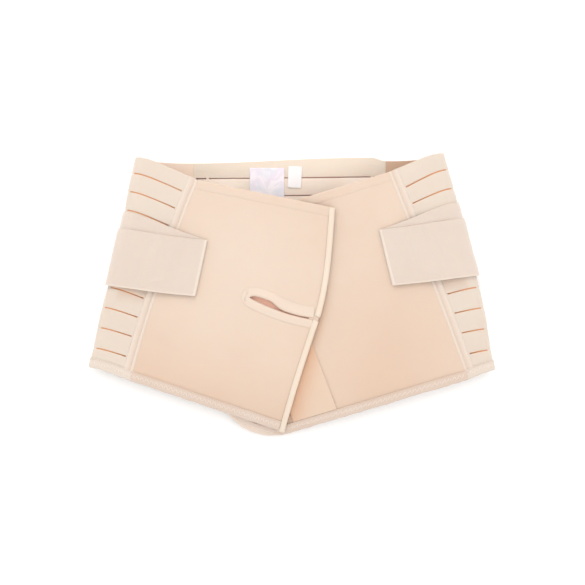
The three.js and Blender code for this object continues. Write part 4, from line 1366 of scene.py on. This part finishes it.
def onLap(share, rise):
    return onPath(frontHeight, lapEdge(share), lapEdgeWays(share)[1], -lap["stitchRow"], rise)


lapTop = cloth["panel"] / 2 + cloth["sewnGap"] + cloth["tape"]
mouthShare = lapEdgeShare(slit["mouth"][1])
lapRows = []
for low, high in ((0.01, mouthShare - 0.02), (mouthShare + 0.02, 0.99)):
    lapRows += straightStitches(threadLine(onLap, spread(low, high, 50), lapTop), *lap["stitch"])
lapStitches = dress(makeStitches("lapStitches", lapRows), "binding", look="paleThread")


def slitStations():
    shares = spread(0.03, 1 - slit["tapeStop"] / slitLength, 54)
    points = [slitLip(share, True, 0) for share in reversed(shares)]
    points += [slitLip(share, False, 0) for share in shares]
    stations = []
    for i, point in enumerate(points):
        way = (points[min(i + 1, len(points) - 1)] - points[max(i - 1, 0)]).normalized()
        stations.append((point, Vector((-way.y, way.x))))
    turn = len(shares)
    stations[turn - 1] = (points[turn - 1], (-slitUp).lerp(slitWay, 0.2).normalized())
    stations[turn] = (points[turn], slitUp.lerp(slitWay, 0.2).normalized())
    rounding = []
    for share in spread(0.12, 0.88, 8):
        out = (slitUp * -math.cos(math.pi * share) + slitWay * math.sin(math.pi * share)).normalized()
        rounding.append((slitInner - out * (slit["closed"] / 2) + slitWay * (0.01 * slitLength), out))
    return stations[:turn] + rounding + stations[turn:]


# On the upper side the tape gets wider towards the mouth, so its outer edge runs straighter.
def onSlitTape(station, across, offset):
    point, out = station
    along = (point - slitInner).dot(slitWay) / slitLength
    isUpper = out.dot(slitUp) < 0
    widening = slit["upperWidening"] * smoothstep(along, 0.25, 0.5) if isUpper else 0
    outerShare = smoothstep(-across, 2, slit["leg"])
    settle = slit["settle"] * outerShare if offset > 0 else 0
    return onPath(leftHeight, point, out, across * (1 + widening * outerShare), offset - settle)


slitTapeStations = slitStations()


# Painted warm glow on the tape's fold where the slit is closed, standing in for light coming through it.
def slitTapeTint(station, spot):
    along = (station[0] - slitInner).dot(slitWay) / slitLength
    return smoothstep(along, 0.4, 0.55) * smoothstep(spot[0], -1.8, -1.2)


slitTape = makeTape(
    "slitBinding", slitTapeStations, onSlitTape, cloth["panel"], slit["leg"], thickness=slit["tape"],
    tint=slitTapeTint,
)
dress(slitTape, "binding", "slit_binding", look="slitTape")
slitTop = cloth["panel"] / 2 + cloth["sewnGap"] + cloth["tape"] / 2 + slit["tape"] / 2
slitLine = threadLine(
    lambda station, rise: onSlitTape(station, -slit["stitchRow"], rise), slitTapeStations[2:-2], slitTop
)
slitRows = straightStitches(slitLine, *slit["stitch"])
for step in spread(-slit["tackHalf"], slit["tackHalf"], slit["tackStitches"]):
    spot = slitInner - slitWay * slit["tackAway"] + slitUp * step
    point = onHeight(leftHeight, *spot, slitTop - slit["tackSunk"])
    slitRows.append((point, slitWay.to_3d(), Vector((0, 0, 1)), *slit["tackStitch"]))
slitStitches = dress(makeStitches("slitStitches", slitRows), "binding", look="paleThread")
print("bindings made")


ridges = {
    "underHem": 4.5,  # how far they run on under the hem's tape
    "piping": {"wall": 0.6, "edgeShade": 0.8},
    "pipingSunk": 0.9,
    "pipingRise": 0.4,
    "pipingOverlap": 0.2,
    "casing": {"wall": 0.5, "edgeShade": 0.35},
    "casingSunk": 0.4,
    "casingRise": 0.75,
}
# Sections of the piping and of the stay casings, each (across, up).
pipingForm = (
    (0, 0), (0.06, 0.3), (0.16, 0.62), (0.3, 0.9), (0.5, 1), (0.7, 0.9), (0.84, 0.62), (0.94, 0.3), (1, 0),
)
casingForm = (
    (0, 0), (0.1, 0.06), (0.22, 0.2), (0.34, 0.42), (0.46, 0.68), (0.58, 0.88), (0.7, 0.99), (0.8, 0.96),
    (0.88, 0.76), (0.95, 0.38), (1, 0),
)


def makeRidge(name, side, ridgeForm, start, width, low, high, wall, edgeShade):
    shares = spread((cloth["hemLeg"] - ridges["underHem"]) / seamLength(side), 1, 120)

    def place(share, form):
        across, up = form
        return onStrip(side, ("seam", start + width * across), share, lerp(low + wall / 2, high - wall / 2, up))

    # Painted warm shade low on the ridge's near side, where it meets the cloth.
    def tint(share, form):
        return edgeShade * (1 - form[1]) * (1 - smoothstep(form[0], 0.6, 0.9))

    return makeSheet(name, shares, list(ridgeForm), place, wall, edge=0, tint=tint)


pipings, casings = {}, {}
overPanel, overElastic = cloth["panel"] / 2, cloth["elastic"] / 2
for name, side in sides.items():
    piping = makeRidge(
        name + "SeamPiping", side, pipingForm, -ridges["pipingOverlap"], casingStart + ridges["pipingOverlap"],
        overPanel - ridges["pipingSunk"], overPanel + ridges["pipingRise"], **ridges["piping"],
    )
    casing = makeRidge(
        name + "StayCasing", side, casingForm, casingStart, cloth["casingSeen"],
        overElastic - ridges["casingSunk"], overElastic + ridges["casingRise"], **ridges["casing"],
    )
    pipings[name] = dress(piping, "elastic", name + "_seam_piping", look="casing")
    casings[name] = dress(casing, "elastic", name + "_stay_casing", look="casing")


closure = {
    "width": 46,
    "length": 155,
    "hemX": 47.7,
    "thickness": 1.2,
    "hookWidth": 25,
    "hookLength": 84,
    "hookInset": 16,
    "hookThickness": 1,
    "lapShade": {"tone": 0.9, "reach": 13},
}


def patchPlan(across, along):
    seamEnd, top = seamPoint(rightSide, 0), seamPoint(rightSide, 1)
    hemWay = (seamEnd - Vector(outline["underEndHem"])).normalized()
    x = closure["hemX"] - closure["width"] * across
    hemY = seamEnd.y + (x - seamEnd.x) * hemWay.y / hemWay.x
    start = Vector((x, hemY + (cloth["hemLeg"] + cloth["sewnGap"]) / abs(hemWay.x)))
    return start + (top - seamEnd).normalized() * (closure["length"] * along)


# The painted shadow beside the lap edge falls on the patch too.
def patchTint(across, along):
    return lapShade(*patchPlan(across, along), **closure["lapShade"])


patchMiddle = cloth["panel"] / 2 + 1.5 * cloth["sewnGap"] + closure["thickness"] / 2
patchColumns, patchRows = spread(0, 1, 40), spread(0, 1, 110)


# Cells of the patch that show through the slit, which get the painted slit shade.
def isBehindSlit(i, j):
    x, y = patchPlan(patchColumns[i], patchRows[j])
    return 1 if slitClearance(x, y) < 6 and x < slitMouth.x - 6 else 0


patch = makeSheet(
    "closureLoopPatch", patchColumns, patchRows,
    lambda across, along: onHeight(lowerHeight, *patchPlan(across, along), patchMiddle),
    closure["thickness"], tint=patchTint, zone=isBehindSlit,
)
dress(patch, "patch", "closure_loop_patch")
patch.data.materials.append(finishes["slitShade"])


def hookPlace(across, along):
    share = lapEdgeShare(closure["hookInset"] + closure["hookLength"] * along + outline["lapTip"][1])
    start = lapEdge(share)
    way = (start - seamPoint(leftSide, share)).normalized()
    x, y = start - way * (cloth["lapLeg"] + cloth["sewnGap"] + closure["hookWidth"] * across)
    return onHeight(frontHeight, x, y, -cloth["panel"] / 2 - cloth["sewnGap"] - closure["hookThickness"] / 2)


hookTape = makeSheet("closureHookTape", spread(0, 1, 20), spread(0, 1, 60), hookPlace, closure["hookThickness"])
dress(hookTape, "hook", "closure_hook_tape")
print("closure made")


labelCloth = {"thickness": 0.5, "stitchDrop": 1.3, "stitch": (2.2, 1.5, 0.26)}
labels = {
    "large": {"width": 36.8, "length": 42, "x": -26.6, "top": 212, "turn": 0, "curl": 0.5},
    "small": {"width": 14.4, "length": 23, "x": 3.5, "top": 213.8, "turn": 0.045, "curl": 0.7},
}
labelLow = cloth["back"] - cloth["elastic"] / 2 + cloth["sewnGap"] + labelCloth["thickness"] / 2


def makeLabel(name, label):
    def place(across, along):
        flat = Vector((label["width"] * (across - 0.5), -label["length"] * along))
        c, s = math.cos(-label["turn"]), math.sin(-label["turn"])
        x = label["x"] + flat.x * c - flat.y * s
        y = label["top"] + flat.x * s + flat.y * c
        lift = label["curl"] * smoothstep(along, 0.2, 1) * (0.6 + 0.4 * math.sin(across * 5 + 1))
        return onHeight(backHeight, x, y, labelLow + lift)

    return makeSheet(
        name + "Label", spread(0, 1, 24), spread(0, 1, 28), place, labelCloth["thickness"], edge=0.1
    )


largeLabel = dress(makeLabel("large", labels["large"]), "label", "large_label")
smallLabel = dress(makeLabel("small", labels["small"]), "size_tab", "small_label")
labelRows = []
for label in labels.values():
    def onLabel(x, rise):
        y = label["top"] - labelCloth["stitchDrop"] + label["turn"] * (x - label["x"])
        return onHeight(backHeight, x, y, rise)

    half = label["width"] / 2 - 1
    marks = spread(label["x"] - half, label["x"] + half, 12)
    labelLine = threadLine(onLabel, marks, labelLow + labelCloth["thickness"] / 2)
    labelRows += straightStitches(labelLine, *labelCloth["stitch"])
labelStitches = dress(makeStitches("labelStitches", labelRows), "label", look="labelThread")
print("labels made")
